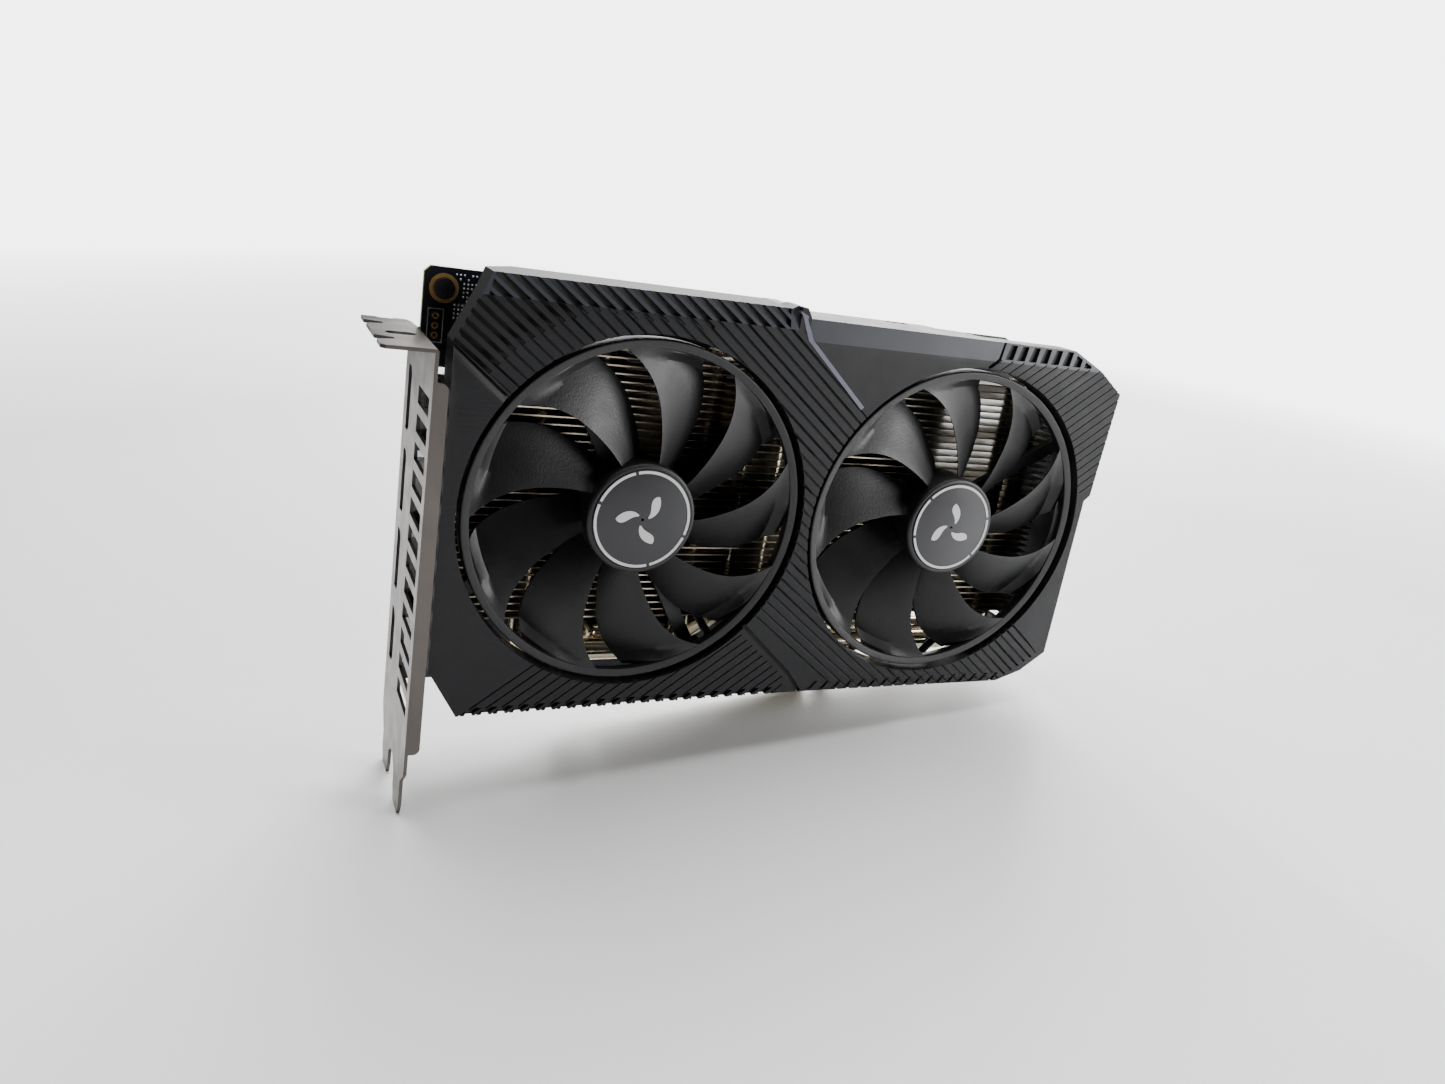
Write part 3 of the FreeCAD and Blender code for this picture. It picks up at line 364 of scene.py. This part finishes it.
# ---- shroud --------------------------------------------------------------------------------
# Two families of ribs, one falling to the right and one rising, both with the same pitch.
RIB_SLOPE = math.radians(37.6)
RIB_PITCH = 2.465
FALLING = (math.cos(RIB_SLOPE), -math.sin(RIB_SLOPE))
RISING = (math.cos(RIB_SLOPE), math.sin(RIB_SLOPE))
TOP_BAND = 132.4            # lower edge of the sloping band on the left half
PANEL_BAND = 129.9          # lower edge of the sloping band on the right half
LEFT_LEAN = 0.34            # depth gained per millimetre of height on the two sloping bands
RIGHT_LEAN = 0.24
LOW_DIAGONAL = [(4.3, 121.3), (110.0, 29.6)]
HIGH_DIAGONAL = [(91.5, 131.6), (197.0, 41.0)]
FAR = 400.0                 # half length of a strip before it is clipped


def band(direction, start, end, through):
    """A long strip along a direction, between two distances to the upper side of a point."""
    dx, dz = direction
    return [(through[0] + dx * along - dz * rise, through[1] + dz * along + dx * rise)
            for along, rise in ((-FAR, start), (FAR, start), (FAR, end), (-FAR, end))]


def across(direction, through, x, z):
    """How far a point lies to the upper side of a line."""
    dx, dz = direction
    return (x - through[0]) * -dz + (z - through[1]) * dx


FALLING_ZONE = [(110.6, 30.4), (181.0, 30.4), HIGH_DIAGONAL[1], HIGH_DIAGONAL[0], (90.6, TOP_BAND),
                (10.8, TOP_BAND), (4.9, 122.0)]
TOP_ZONE = [(11.0, TOP_BAND), (86.6, TOP_BAND), (86.6, 139.0), (13.0, 139.0)]
RISING_LEFT_ZONE = [(11.5, 30.0), (12.0, 27.0), (104.0, 27.0), (104.0, 35.0), (88.2, 48.7), (30.0, 43.0)]
RISING_RIGHT_ZONE = [(150.6, 128.2), (197.0, 91.0), (201.0, 92.0), (201.0, 125.0), (190.0, 130.4),
                     (153.4, 130.4)]
RIB_START = LOW_DIAGONAL[0]
PLAIN_TURN = math.atan2(-10.7, 12.9)
PLAIN_EDGE = (math.cos(PLAIN_TURN), math.sin(PLAIN_TURN))    # upper edge of the plain left part
FALLING_COUNT = 50
RISE_START = (12.0, 28.4)
RISE_RIGHT_START = (154.0, 130.4)


def slope_cutter():
    """Leans the upper bands back and bevels the plain left part's upper edge."""
    bm = bmesh.new()
    add_cut(bm, [(2.0, TOP_BAND - 0.15), (89.0, TOP_BAND - 0.15), (89.0, 141.0), (2.0, 141.0)],
            lambda x, z: (z - TOP_BAND) * LEFT_LEAN)
    add_cut(bm, [(92.0, PANEL_BAND - 0.15), (202.0, PANEL_BAND - 0.15), (202.0, 138.0), (92.0, 138.0)],
            lambda x, z: (z - PANEL_BAND) * RIGHT_LEAN)
    zone = [(3.0, 100.0), (30.0, 100.0), (30.0, 123.0), (3.0, 123.0)]
    strip = clip_to(band(PLAIN_EDGE, -2.35, 0.0, RIB_START), zone)
    add_cut(bm, strip, lambda x, z: 0.85 + across(PLAIN_EDGE, RIB_START, x, z) * 0.40)
    return new_piece("slope_cutter", bm)


def edge_cutter():
    """Bevels the upper edge of every falling rib."""
    bm = bmesh.new()
    bevel = 0.40
    for k in range(FALLING_COUNT):
        low = k * RIB_PITCH + RIB_PITCH - bevel
        strip = clip_to(band(FALLING, low, low + bevel, RIB_START), FALLING_ZONE)
        add_cut(bm, strip, lambda x, z: (across(FALLING, RIB_START, x, z) - low - 0.03) * 0.9)
    return new_piece("edge_cutter", bm)


def groove_cutter():
    """Narrow grooves of the falling and rising zones."""
    bm = bmesh.new()
    for k in range(FALLING_COUNT):
        low = k * RIB_PITCH
        add_cut(bm, clip_to(band(FALLING, low, low + 0.38, RIB_START), FALLING_ZONE), lambda x, z: 0.62)
    for k in range(1, 34):
        low = k * RIB_PITCH
        strip = clip_to(band(RISING, low - 70.0, low - 69.62, RISE_START), RISING_LEFT_ZONE)
        add_cut(bm, strip, lambda x, z: 0.60)
    boundary = [(88.2, 50.9), (104.3, 36.3), (109.2, 30.2), (110.2, 30.9), (105.1, 37.1), (89.0, 51.6)]
    add_cut(bm, boundary, lambda x, z: 0.85)
    for k in range(-22, 8):
        low = k * RIB_PITCH
        strip = clip_to(band(RISING, low, low + 0.30, RISE_RIGHT_START), RISING_RIGHT_ZONE)
        add_cut(bm, strip, lambda x, z: 0.45)
    return new_piece("groove_cutter", bm)


def span_inside(start, direction, inside):
    """First and last place along a line where it lies inside a zone, or nothing."""
    places = []
    for i in range(-120, 480):
        x, z = start[0] + direction[0] * i * 0.25, start[1] + direction[1] * i * 0.25
        if inside(x, z):
            places.append((x, z))
    return (places[0], places[-1]) if len(places) > 4 else None


def add_trough(bm, low_edge, high_edge, floor, steps=24):
    """A closed cutter between two edges, whose floor follows a depth along its length."""
    rows = []
    for i in range(steps + 1):
        share = i / steps
        row = []
        for (x0, z0), (x1, z1) in (low_edge, high_edge):
            x, z = x0 + (x1 - x0) * share, z0 + (z1 - z0) * share
            row.append((bm.verts.new(at(x, CUTTER_FRONT, z)), bm.verts.new(at(x, floor(x, z), z))))
        rows.append((row[0][0], row[0][1], row[1][1], row[1][0]))
    for here, there in zip(rows, rows[1:]):
        for j in range(4):
            k = (j + 1) % 4
            bm.faces.new((here[j], there[j], there[k], here[k]))
    bm.faces.new(rows[0])
    bm.faces.new(rows[-1][::-1])


def deep_reach(x):
    """How near the left fan's axis the deep recesses come."""
    return 53.0 - 3.9 * smoothstep((x - 34.0) / 16.0)


def in_deep_zone(x, z):
    """Whether a point lies in the zone of deep recesses."""
    above_edge = across((0.770, -0.638), RIB_START, x, z) > 0.0
    clear_of_fan = math.hypot(x - FAN_X["left"], z - FAN_Z) > deep_reach(x)
    return z < TOP_BAND + 0.1 and x < 66.0 and above_edge and clear_of_fan


def deep_floor(x, z):
    """Depth of a deep recess, which runs out towards the fan."""
    out = math.hypot(x - FAN_X["left"], z - FAN_Z) - deep_reach(x)
    return 0.25 + 1.45 * smoothstep(out / 5.0)


def deep_cutter():
    """Deep recesses between the upper left ribs, which run out before the fan."""
    bm = bmesh.new()
    normal = (-FALLING[1], FALLING[0])
    for k in range(26):
        edges = []
        width = 1.10 - 0.022 * max(0, k - 8)
        for offset in (k * RIB_PITCH + 0.06, k * RIB_PITCH + width):
            start = (RIB_START[0] + normal[0] * offset, RIB_START[1] + normal[1] * offset)
            edges.append(span_inside(start, FALLING, in_deep_zone))
        if all(edges):
            add_trough(bm, edges[0], edges[1], deep_floor)
    return new_piece("deep_cutter", bm)


def top_cutter():
    """Slanting recesses in the two sloping bands along the top."""
    bm = bmesh.new()
    for k in range(60):
        low = k * RIB_PITCH
        strip = clip_to(band(FALLING, low, low + 1.55, RIB_START), TOP_ZONE)
        add_cut(bm, strip, lambda x, z: 1.15 + (z - TOP_BAND) * 0.20)
    for k in range(8):
        x = 154.9 + 4.1 * k
        recess = [(x, 130.7), (x + 2.8, 130.7), (x + 4.6, 136.0), (x + 2.5, 136.0)]
        recess = clip_to(recess, [(150.0, 130.0), (189.5, 130.0), (179.4, 134.7), (150.0, 134.7)])
        add_cut(bm, recess, lambda x, z: 1.0 + (z - PANEL_BAND) * 0.20)
    panel_end = [(155.3, 136.0), (154.6, 136.0), (152.7, 130.7), (149.5, 128.3), (150.2, 127.6),
                 (153.5, 130.4)]
    add_cut(bm, panel_end, lambda x, z: 1.1 + (z - PANEL_BAND) * 0.10)
    return new_piece("top_cutter", bm)


def tooth_cutter():
    """Notches along the lower edge, open on the left half and shallow on the right half."""
    bm = bmesh.new()
    for k in range(21):
        x = 13.6 + 4.12 * k
        lift = 28.3 + 2.0 * (x - 12.0) / 98.0
        notch = [(x, lift - 2.0), (x + 2.0, lift - 2.0), (x + 3.0, lift + 0.6), (x + 4.9, lift + 2.0),
                 (x + 3.4, lift + 2.2), (x + 1.2, lift + 1.2)]
        add_cut(bm, notch, lambda x, z: 1.2)
    for k in range(17):
        x = 112.0 + 4.12 * k
        notch = [(x, 30.9), (x + 1.5, 30.9), (x + 3.4, 33.4), (x + 1.9, 33.4)]
        add_cut(bm, notch, lambda x, z: 0.5)
    return new_piece("tooth_cutter", bm)


def opening_cutter():
    """The two fan openings, cut again with fine facets."""
    bm = bmesh.new()
    for side in SIDES:
        centre = at(FAN_X[side], 0, FAN_Z)
        steps = 240
        front, back = [], []
        for i in range(steps):
            angle = math.tau * i / steps
            spoke = Vector((math.cos(angle), 0, math.sin(angle))) * (OPENING_RADIUS + 0.04) * MM
            front.append(bm.verts.new(centre + spoke + Vector((0, -2, 0)) * MM))
            back.append(bm.verts.new(centre + spoke + Vector((0, 9.3, 0)) * MM))
        bm.faces.new(front)
        bm.faces.new(back[::-1])
        for i in range(steps):
            j = (i + 1) % steps
            bm.faces.new((front[j], front[i], back[i], back[j]))
    return new_piece("opening_cutter", bm)


def is_recess(x, y, z, normal):
    """Whether a face is the floor or wall of a groove, seen from the front; such faces get painted shade."""
    if z > PANEL_BAND:
        lean = (z - TOP_BAND) * LEFT_LEAN if x < 91.0 else (z - PANEL_BAND) * RIGHT_LEAN
        return 0.3 + max(0.0, lean) < y < 2.6 and normal.y < 0.1
    return 0.3 < y < 1.95 and normal.y < 0.1


def make_shroud():
    """The shroud's own CAD form, carved with its ribs, grooves, bevels and teeth."""
    shroud = bpy.data.objects.new("shroud_skin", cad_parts["shroud"].data.copy())
    bpy.context.scene.collection.objects.link(shroud)
    bm = bmesh.new()
    bm.from_mesh(shroud.data)
    bmesh.ops.remove_doubles(bm, verts=bm.verts, dist=1e-6)
    bmesh.ops.dissolve_limit(bm, angle_limit=math.radians(0.05), verts=bm.verts, edges=bm.edges)
    bm.to_mesh(shroud.data)
    bm.free()
    for make_cutter in (slope_cutter, edge_cutter, groove_cutter, deep_cutter, top_cutter, tooth_cutter,
                        opening_cutter):
        carve(shroud, make_cutter())
    shroud.data.materials.clear()
    for finish in (shroud_plastic, brushed, recess_painted_shade, bevel_painted_light):
        shroud.data.materials.append(finish)
    low, high = LOW_DIAGONAL
    for face in shroud.data.polygons:
        face.material_index = 0
        x, z = (face.center.x - LEFT) / MM, face.center.z / MM
        below = (high[0] - low[0]) * (z - low[1]) - (high[1] - low[1]) * (x - low[0]) < 0
        left_of_ribs = (30.0 - 11.5) * (z - 30.2) - (43.0 - 30.2) * (x - 11.5) > 0
        if x < 54.0 and below and left_of_ribs and face.normal.y < -0.9:
            face.material_index = 1
        # Groove floors and walls take the darker plastic, painted shade in the recesses.
        elif is_recess(x, (face.center.y - FRONT) / MM, z, face.normal):
            face.material_index = 2
        # Faces of the sloping bands that tilt up take the lighter plastic, painted light from above.
        elif z > PANEL_BAND and -0.995 < face.normal.y < -0.9 and face.normal.z > 0.1:
            face.material_index = 3
    shade(shroud, 25)
    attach(shroud, "card")
    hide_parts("shroud")


make_shroud()

# ---- fans ----------------------------------------------------------------------------------
RING_OUTER = 44.8
RING_INNER = 42.4
HUB_RADIUS = 14.4
HUB_FRONT = -0.8
BLADE_COUNT = 9
FAN_TURN = {"left": 102.5, "right": 115.5}
BADGE_TURN = {"left": 132.5, "right": 166.0}
# Leading and trailing edge of a blade: (radius, degrees behind the leading tip).
LEADING_EDGE = [(13.6, -26.5), (23.0, -19.5), (31.0, -14.0), (38.0, -7.2), (43.0, 0.0)]
TRAILING_EDGE = [(13.6, -56.0), (22.6, -48.0), (31.5, -42.0), (38.0, -36.0), (43.0, -29.0)]


def between(stations, value):
    """Smooth value at a radius, from a few (radius, value) stations."""
    for (r0, v0), (r1, v1) in zip(stations, stations[1:]):
        if value <= r1 or (r1, v1) == stations[-1]:
            share = (value - r0) / (r1 - r0)
            return v0 + (v1 - v0) * share
    return stations[-1][1]


def smoothed(stations, value, reach=3.0):
    """The same value, averaged over a short stretch so that no corner shows."""
    total = sum(between(stations, value + reach * (i - 3) / 3.0) for i in range(7))
    return total / 7.0


def blade_depth(radius, share):
    """Depth of the blade's front surface, which rises to the ring's lip at its tip."""
    depth = 1.5 + 7.0 * share ** 1.1
    lift = smoothstep((radius - 39.6) / 3.0)
    return depth + (1.55 - depth) * 0.92 * lift * (1 - 0.55 * smoothstep((share - 0.45) / 0.55))


def add_blade(bm, centre, turn):
    """One swept, cupped blade with a rounded leading edge, closed all round."""
    rows, columns = 26, 16
    front, back = [], []
    for i in range(rows + 1):
        radius = 13.7 + (RING_INNER + 0.7 - 13.7) * i / rows
        lead = smoothed(LEADING_EDGE, radius)
        trail = smoothed(TRAILING_EDGE, radius)
        front_row, back_row = [], []
        for j in range(columns + 1):
            share = j / columns
            angle = math.radians(turn + lead + (trail - lead) * share)
            depth = blade_depth(radius, share)
            rounding = math.sin(math.pi * min(0.5, share * 2.2))
            thick = 0.35 + 0.75 * rounding * (1 - 0.6 * smoothstep((share - 0.6) / 0.4))
            spoke = Vector((math.cos(angle), 0, math.sin(angle))) * radius
            front_row.append(bm.verts.new(centre + (spoke + Vector((0, depth, 0))) * MM))
            back_row.append(bm.verts.new(centre + (spoke + Vector((0, depth + thick, 0))) * MM))
        front.append(front_row)
        back.append(back_row)
    for i in range(rows):
        for j in range(columns):
            bm.faces.new((front[i][j], front[i + 1][j], front[i + 1][j + 1], front[i][j + 1]))
            bm.faces.new((back[i][j], back[i][j + 1], back[i + 1][j + 1], back[i + 1][j]))
        bm.faces.new((front[i][0], back[i][0], back[i + 1][0], front[i + 1][0]))
        bm.faces.new((front[i][columns], front[i + 1][columns], back[i + 1][columns], back[i][columns]))
    for j in range(columns):
        bm.faces.new((front[0][j], front[0][j + 1], back[0][j + 1], back[0][j]))
        bm.faces.new((front[rows][j], back[rows][j], back[rows][j + 1], front[rows][j + 1]))


def make_impeller(side):
    """Hub, blades and ring of one fan."""
    centre = at(FAN_X[side], 0, FAN_Z)
    bm = bmesh.new()
    hub = [(12.95, 9.5), (HUB_RADIUS, 9.5)]
    hub += arc_profile(HUB_RADIUS - 0.9, HUB_FRONT + 0.9, 0.9, 0, -90)
    hub += [(13.15, HUB_FRONT), (13.1, HUB_FRONT + 0.35), (0.4, HUB_FRONT + 0.35), (0.4, 0.35), (12.95, 0.35)]
    lathe(bm, hub, centre)
    ring = [(RING_INNER, 2.3), (RING_INNER + 0.25, 1.5)]
    ring += arc_profile(RING_OUTER - 0.45, 1.55, 0.45, -100, 0)
    ring += [(RING_OUTER, 6.1), (RING_OUTER - 0.9, 6.2), (RING_INNER + 0.5, 4.2)]
    lathe(bm, ring, centre, 240)
    for k in range(BLADE_COUNT):
        add_blade(bm, centre, FAN_TURN[side] + 360.0 * k / BLADE_COUNT)
    impeller = new_piece("impeller_skin_" + side, bm, 40)
    impeller.data.materials.append(fan_plastic)
    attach(impeller, "fan_" + side)
    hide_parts("impeller_" + side)


def add_sector(bm, centre, inner, outer, start, end, front, back):
    """A flat curved bar between two angles, in degrees."""
    steps = max(4, int(abs(end - start) / 2.5))
    rows = []
    for i in range(steps + 1):
        angle = math.radians(start + (end - start) * i / steps)
        spoke = Vector((math.cos(angle), 0, math.sin(angle)))
        rows.append([bm.verts.new(centre + (spoke * r + Vector((0, y, 0))) * MM)
                     for r, y in ((inner, front), (outer, front), (outer, back), (inner, back))])
    for here, there in zip(rows, rows[1:]):
        for j in range(4):
            bm.faces.new((here[j], here[(j + 1) % 4], there[(j + 1) % 4], there[j]))
    bm.faces.new(rows[0][::-1])
    bm.faces.new(rows[-1])


def make_badge(side):
    """Satin disc with a pale ring in four arcs and a plain pinwheel of three petals."""
    centre = at(FAN_X[side], 0, FAN_Z)
    front = HUB_FRONT - 0.3
    bm = bmesh.new()
    disc = [(0.4, HUB_FRONT + 0.35), (13.0, HUB_FRONT + 0.35)]
    disc += arc_profile(13.0 - 0.2, front + 0.2, 0.2, 0, -90, 3)
    disc += [(0.4, front)]
    lathe(bm, disc, centre)
    badge = new_piece("badge_disc_" + side, bm, 40)
    badge.data.materials.append(badge_satin)
    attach(badge, "fan_" + side)
    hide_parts("hub_badge_" + side)
    bm = bmesh.new()
    middle = BADGE_TURN[side]
    gap = 2.0
    for start, end in ((-28, 28), (28, 152), (152, 208), (208, 332)):
        add_sector(bm, centre, 12.05, 12.75, middle + start + gap, middle + end - gap, front - 0.1, front)
    for k in range(3):
        add_petal(bm, centre, middle + 120.0 * k, front)
    marks = new_piece("badge_marks_" + side, bm, 40)
    marks.data.materials.append(ring_white)
    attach(marks, "fan_" + side)


def add_petal(bm, centre, turn, front):
    """One curved petal of the pinwheel."""
    steps = 14
    outer, inner = [], []
    for i in range(steps + 1):
        share = i / steps
        radius = 1.6 + 5.6 * share
        width = 30.0 * math.sin(math.pi * (0.12 + 0.88 * share)) ** 0.8
        middle = turn + 46.0 * share
        for row, offset in ((outer, width), (inner, -width * 0.2)):
            angle = math.radians(middle + offset)
            row.append((radius * math.cos(angle), radius * math.sin(angle)))
    loop = outer + inner[::-1]
    top = [bm.verts.new(centre + Vector((x, front - 0.08, z)) * MM) for x, z in loop]
    low = [bm.verts.new(centre + Vector((x, front, z)) * MM) for x, z in loop]
    count = len(loop)
    for i in range(steps):
        a, b, c, d = i, i + 1, count - 2 - i, count - 1 - i
        bm.faces.new((top[a], top[b], top[c], top[d]))
        bm.faces.new((low[d], low[c], low[b], low[a]))
    for i in range(count):
        j = (i + 1) % count
        bm.faces.new((top[i], top[j], low[j], low[i]))


for side in SIDES:
    make_impeller(side)
    make_badge(side)

# ---- board details -------------------------------------------------------------------------
BOARD_FACE = 31.5


def make_solder_dots():
    """Rows of small solder points in the board's corner."""
    bm = bmesh.new()
    chance = random.Random(7)
    for row in range(11):
        for column in range(7):
            x = 9.8 + 0.98 * column
            z = 132.6 - 1.05 * row
            if math.hypot(x - 7.0, z - 129.0) < 4.2 or chance.random() < 0.12:
                continue
            place = Matrix.Translation(at(x, BOARD_FACE - 0.05, z)) @ Matrix.Diagonal((1, 0.6, 1, 1))
            bmesh.ops.create_uvsphere(bm, u_segments=10, v_segments=6, radius=0.27 * MM, matrix=place)
    dots = new_piece("solder_dots", bm, 60)
    dots.data.materials.append(bright_can)
    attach(dots, "card")


def add_slab(bm, x0, x1, y0, y1, z0, z1):
    """A box between two corners."""
    place = Matrix.Translation(at((x0 + x1) / 2, (y0 + y1) / 2, (z0 + z1) / 2))
    size = Matrix.Diagonal(((x1 - x0) * MM, (y1 - y0) * MM, (z1 - z0) * MM, 1))
    bmesh.ops.create_cube(bm, size=1.0, matrix=place @ size)


def make_silk_box():
    """A thin printed frame round three test pads."""
    bm = bmesh.new()
    x0, x1, z0, z1, line = 3.5, 7.4, 115.6, 124.0, 0.22
    low, high = BOARD_FACE - 0.04, BOARD_FACE
    add_slab(bm, x0, x1, low, high, z0, z0 + line)
    add_slab(bm, x0, x1, low, high, z1 - line, z1)
    add_slab(bm, x0, x0 + line, low, high, z0 + line, z1 - line)
    add_slab(bm, x1 - line, x1, low, high, z0 + line, z1 - line)
    box = new_piece("silk_box", bm)
    box.data.materials.append(ring_white)
    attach(box, "card")
    bm = bmesh.new()
    for z in (117.4, 119.8, 122.2):
        lathe(bm, [(0.45, -0.06), (0.85, -0.06), (0.85, 0.0), (0.45, 0.0)], at(5.45, BOARD_FACE, z), 24)
    pads = new_piece("test_pads", bm, 40)
    pads.data.materials.append(gold)
    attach(pads, "card")


make_solder_dots()
make_silk_box()

# ---- stage, light and camera ---------------------------------------------------------------
TAB_END = 131.0             # right end of the edge tab, which the card rests on
TAB_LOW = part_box("circuit_board")[0][2]
TILT = math.atan2(TAB_LOW, TAB_END * MM)


def make_floor():
    """A pale floor under the tails and the edge tab, level beyond the card's right end."""
    bm = bmesh.new()
    start, turn, end, depth = -1.6, 0.112, 1.8, 1.7
    rise = math.tan(TILT)
    stations = [(start, (start - LEFT) * rise), (turn, (turn - LEFT) * rise), (end, (turn - LEFT) * rise)]
    rows = [[bm.verts.new((x, y, z - 0.0002)) for y in (-depth, depth)] for x, z in stations]
    for here, there in zip(rows, rows[1:]):
        bm.faces.new((here[0], there[0], there[1], here[1]))
    floor = new_piece("floor", bm)
    made = material("floor", (0.985, 0.985, 0.99), 0.42, grain=(6.0, 0.004), spread=0.05)
    nodes, links = made.node_tree.nodes, made.node_tree.links
    place = nodes.new("ShaderNodeTexCoord")
    length = nodes.new("ShaderNodeVectorMath")
    length.operation = "LENGTH"
    fade = nodes.new("ShaderNodeMapRange")
    fade.inputs["From Min"].default_value = 0.45
    fade.inputs["From Max"].default_value = 1.35
    clear = nodes.new("ShaderNodeBsdfTransparent")
    mix = nodes.new("ShaderNodeMixShader")
    links.new(place.outputs["Object"], length.inputs[0])
    links.new(length.outputs["Value"], fade.inputs["Value"])
    links.new(fade.outputs["Result"], mix.inputs["Fac"])
    links.new(nodes["Principled BSDF"].outputs["BSDF"], mix.inputs[1])
    links.new(clear.outputs["BSDF"], mix.inputs[2])
    links.new(mix.outputs["Shader"], nodes["Material Output"].inputs["Surface"])
    floor.data.materials.append(made)


def make_world():
    """White surroundings, bright behind and above the card and dim in front of it."""
    world = bpy.data.worlds.new("studio")
    bpy.context.scene.world = world
    world.use_nodes = True
    nodes, links = world.node_tree.nodes, world.node_tree.links
    place = nodes.new("ShaderNodeTexCoord")
    facing = nodes.new("ShaderNodeVectorMath")
    facing.operation = "DOT_PRODUCT"
    facing.inputs[1].default_value = (0.30, 0.80, 0.52)
    light = nodes.new("ShaderNodeMapRange")
    light.inputs["From Min"].default_value = -0.5
    light.inputs["From Max"].default_value = 0.6
    light.inputs["To Min"].default_value = 0.05
    light.inputs["To Max"].default_value = 3.0
    lit = nodes["Background"]
    shown = nodes.new("ShaderNodeBackground")
    shown.inputs["Color"].default_value = (1.0, 1.0, 1.01, 1.0)
    shown.inputs["Strength"].default_value = 5.0
    ray = nodes.new("ShaderNodeLightPath")
    mix = nodes.new("ShaderNodeMixShader")
    links.new(place.outputs["Generated"], facing.inputs[0])
    links.new(facing.outputs["Value"], light.inputs["Value"])
    links.new(light.outputs["Result"], lit.inputs["Strength"])
    links.new(ray.outputs["Is Camera Ray"], mix.inputs["Fac"])
    links.new(lit.outputs["Background"], mix.inputs[1])
    links.new(shown.outputs["Background"], mix.inputs[2])
    links.new(mix.outputs["Shader"], nodes["World Output"].inputs["Surface"])


def add_light(name, place, target, size, power):
    """A square softbox."""
    data = bpy.data.lights.new(name, "AREA")
    data.size = size
    data.energy = power
    lamp = bpy.data.objects.new(name, data)
    lamp.location = place
    lamp.rotation_euler = (Vector(target) - Vector(place)).to_track_quat("-Z", "Y").to_euler()
    bpy.context.scene.collection.objects.link(lamp)


def make_camera():
    """The camera, by its place, heading, pitch and roll."""
    data = bpy.data.cameras.new("camera")
    data.sensor_width = 36.0
    data.lens = 26.56
    data.clip_start = 0.01
    camera = bpy.data.objects.new("camera", data)
    heading, pitch, roll = math.radians(26.68), math.radians(-17.75), math.radians(9.60)
    level = Matrix.Rotation(-heading, 4, "Z")
    turn = level @ Matrix.Rotation(math.pi / 2 + pitch, 4, "X") @ Matrix.Rotation(roll, 4, "Z")
    camera.matrix_world = Matrix.Translation((-0.1362, -0.2541, 0.1609)) @ turn
    bpy.context.scene.collection.objects.link(camera)
    bpy.context.scene.camera = camera


make_floor()
make_world()
add_light("side_box", (0.70, -0.50, 0.30), (0.0, 0.0, 0.08), 0.36, 7.5)
add_light("top_box", (0.0, 0.35, 1.30), (0.0, 0.0, 0.0), 1.50, 34.0)
add_light("back_box", (0.30, 0.60, 0.45), (0.05, 0.0, 0.07), 0.60, 10.0)
make_camera()
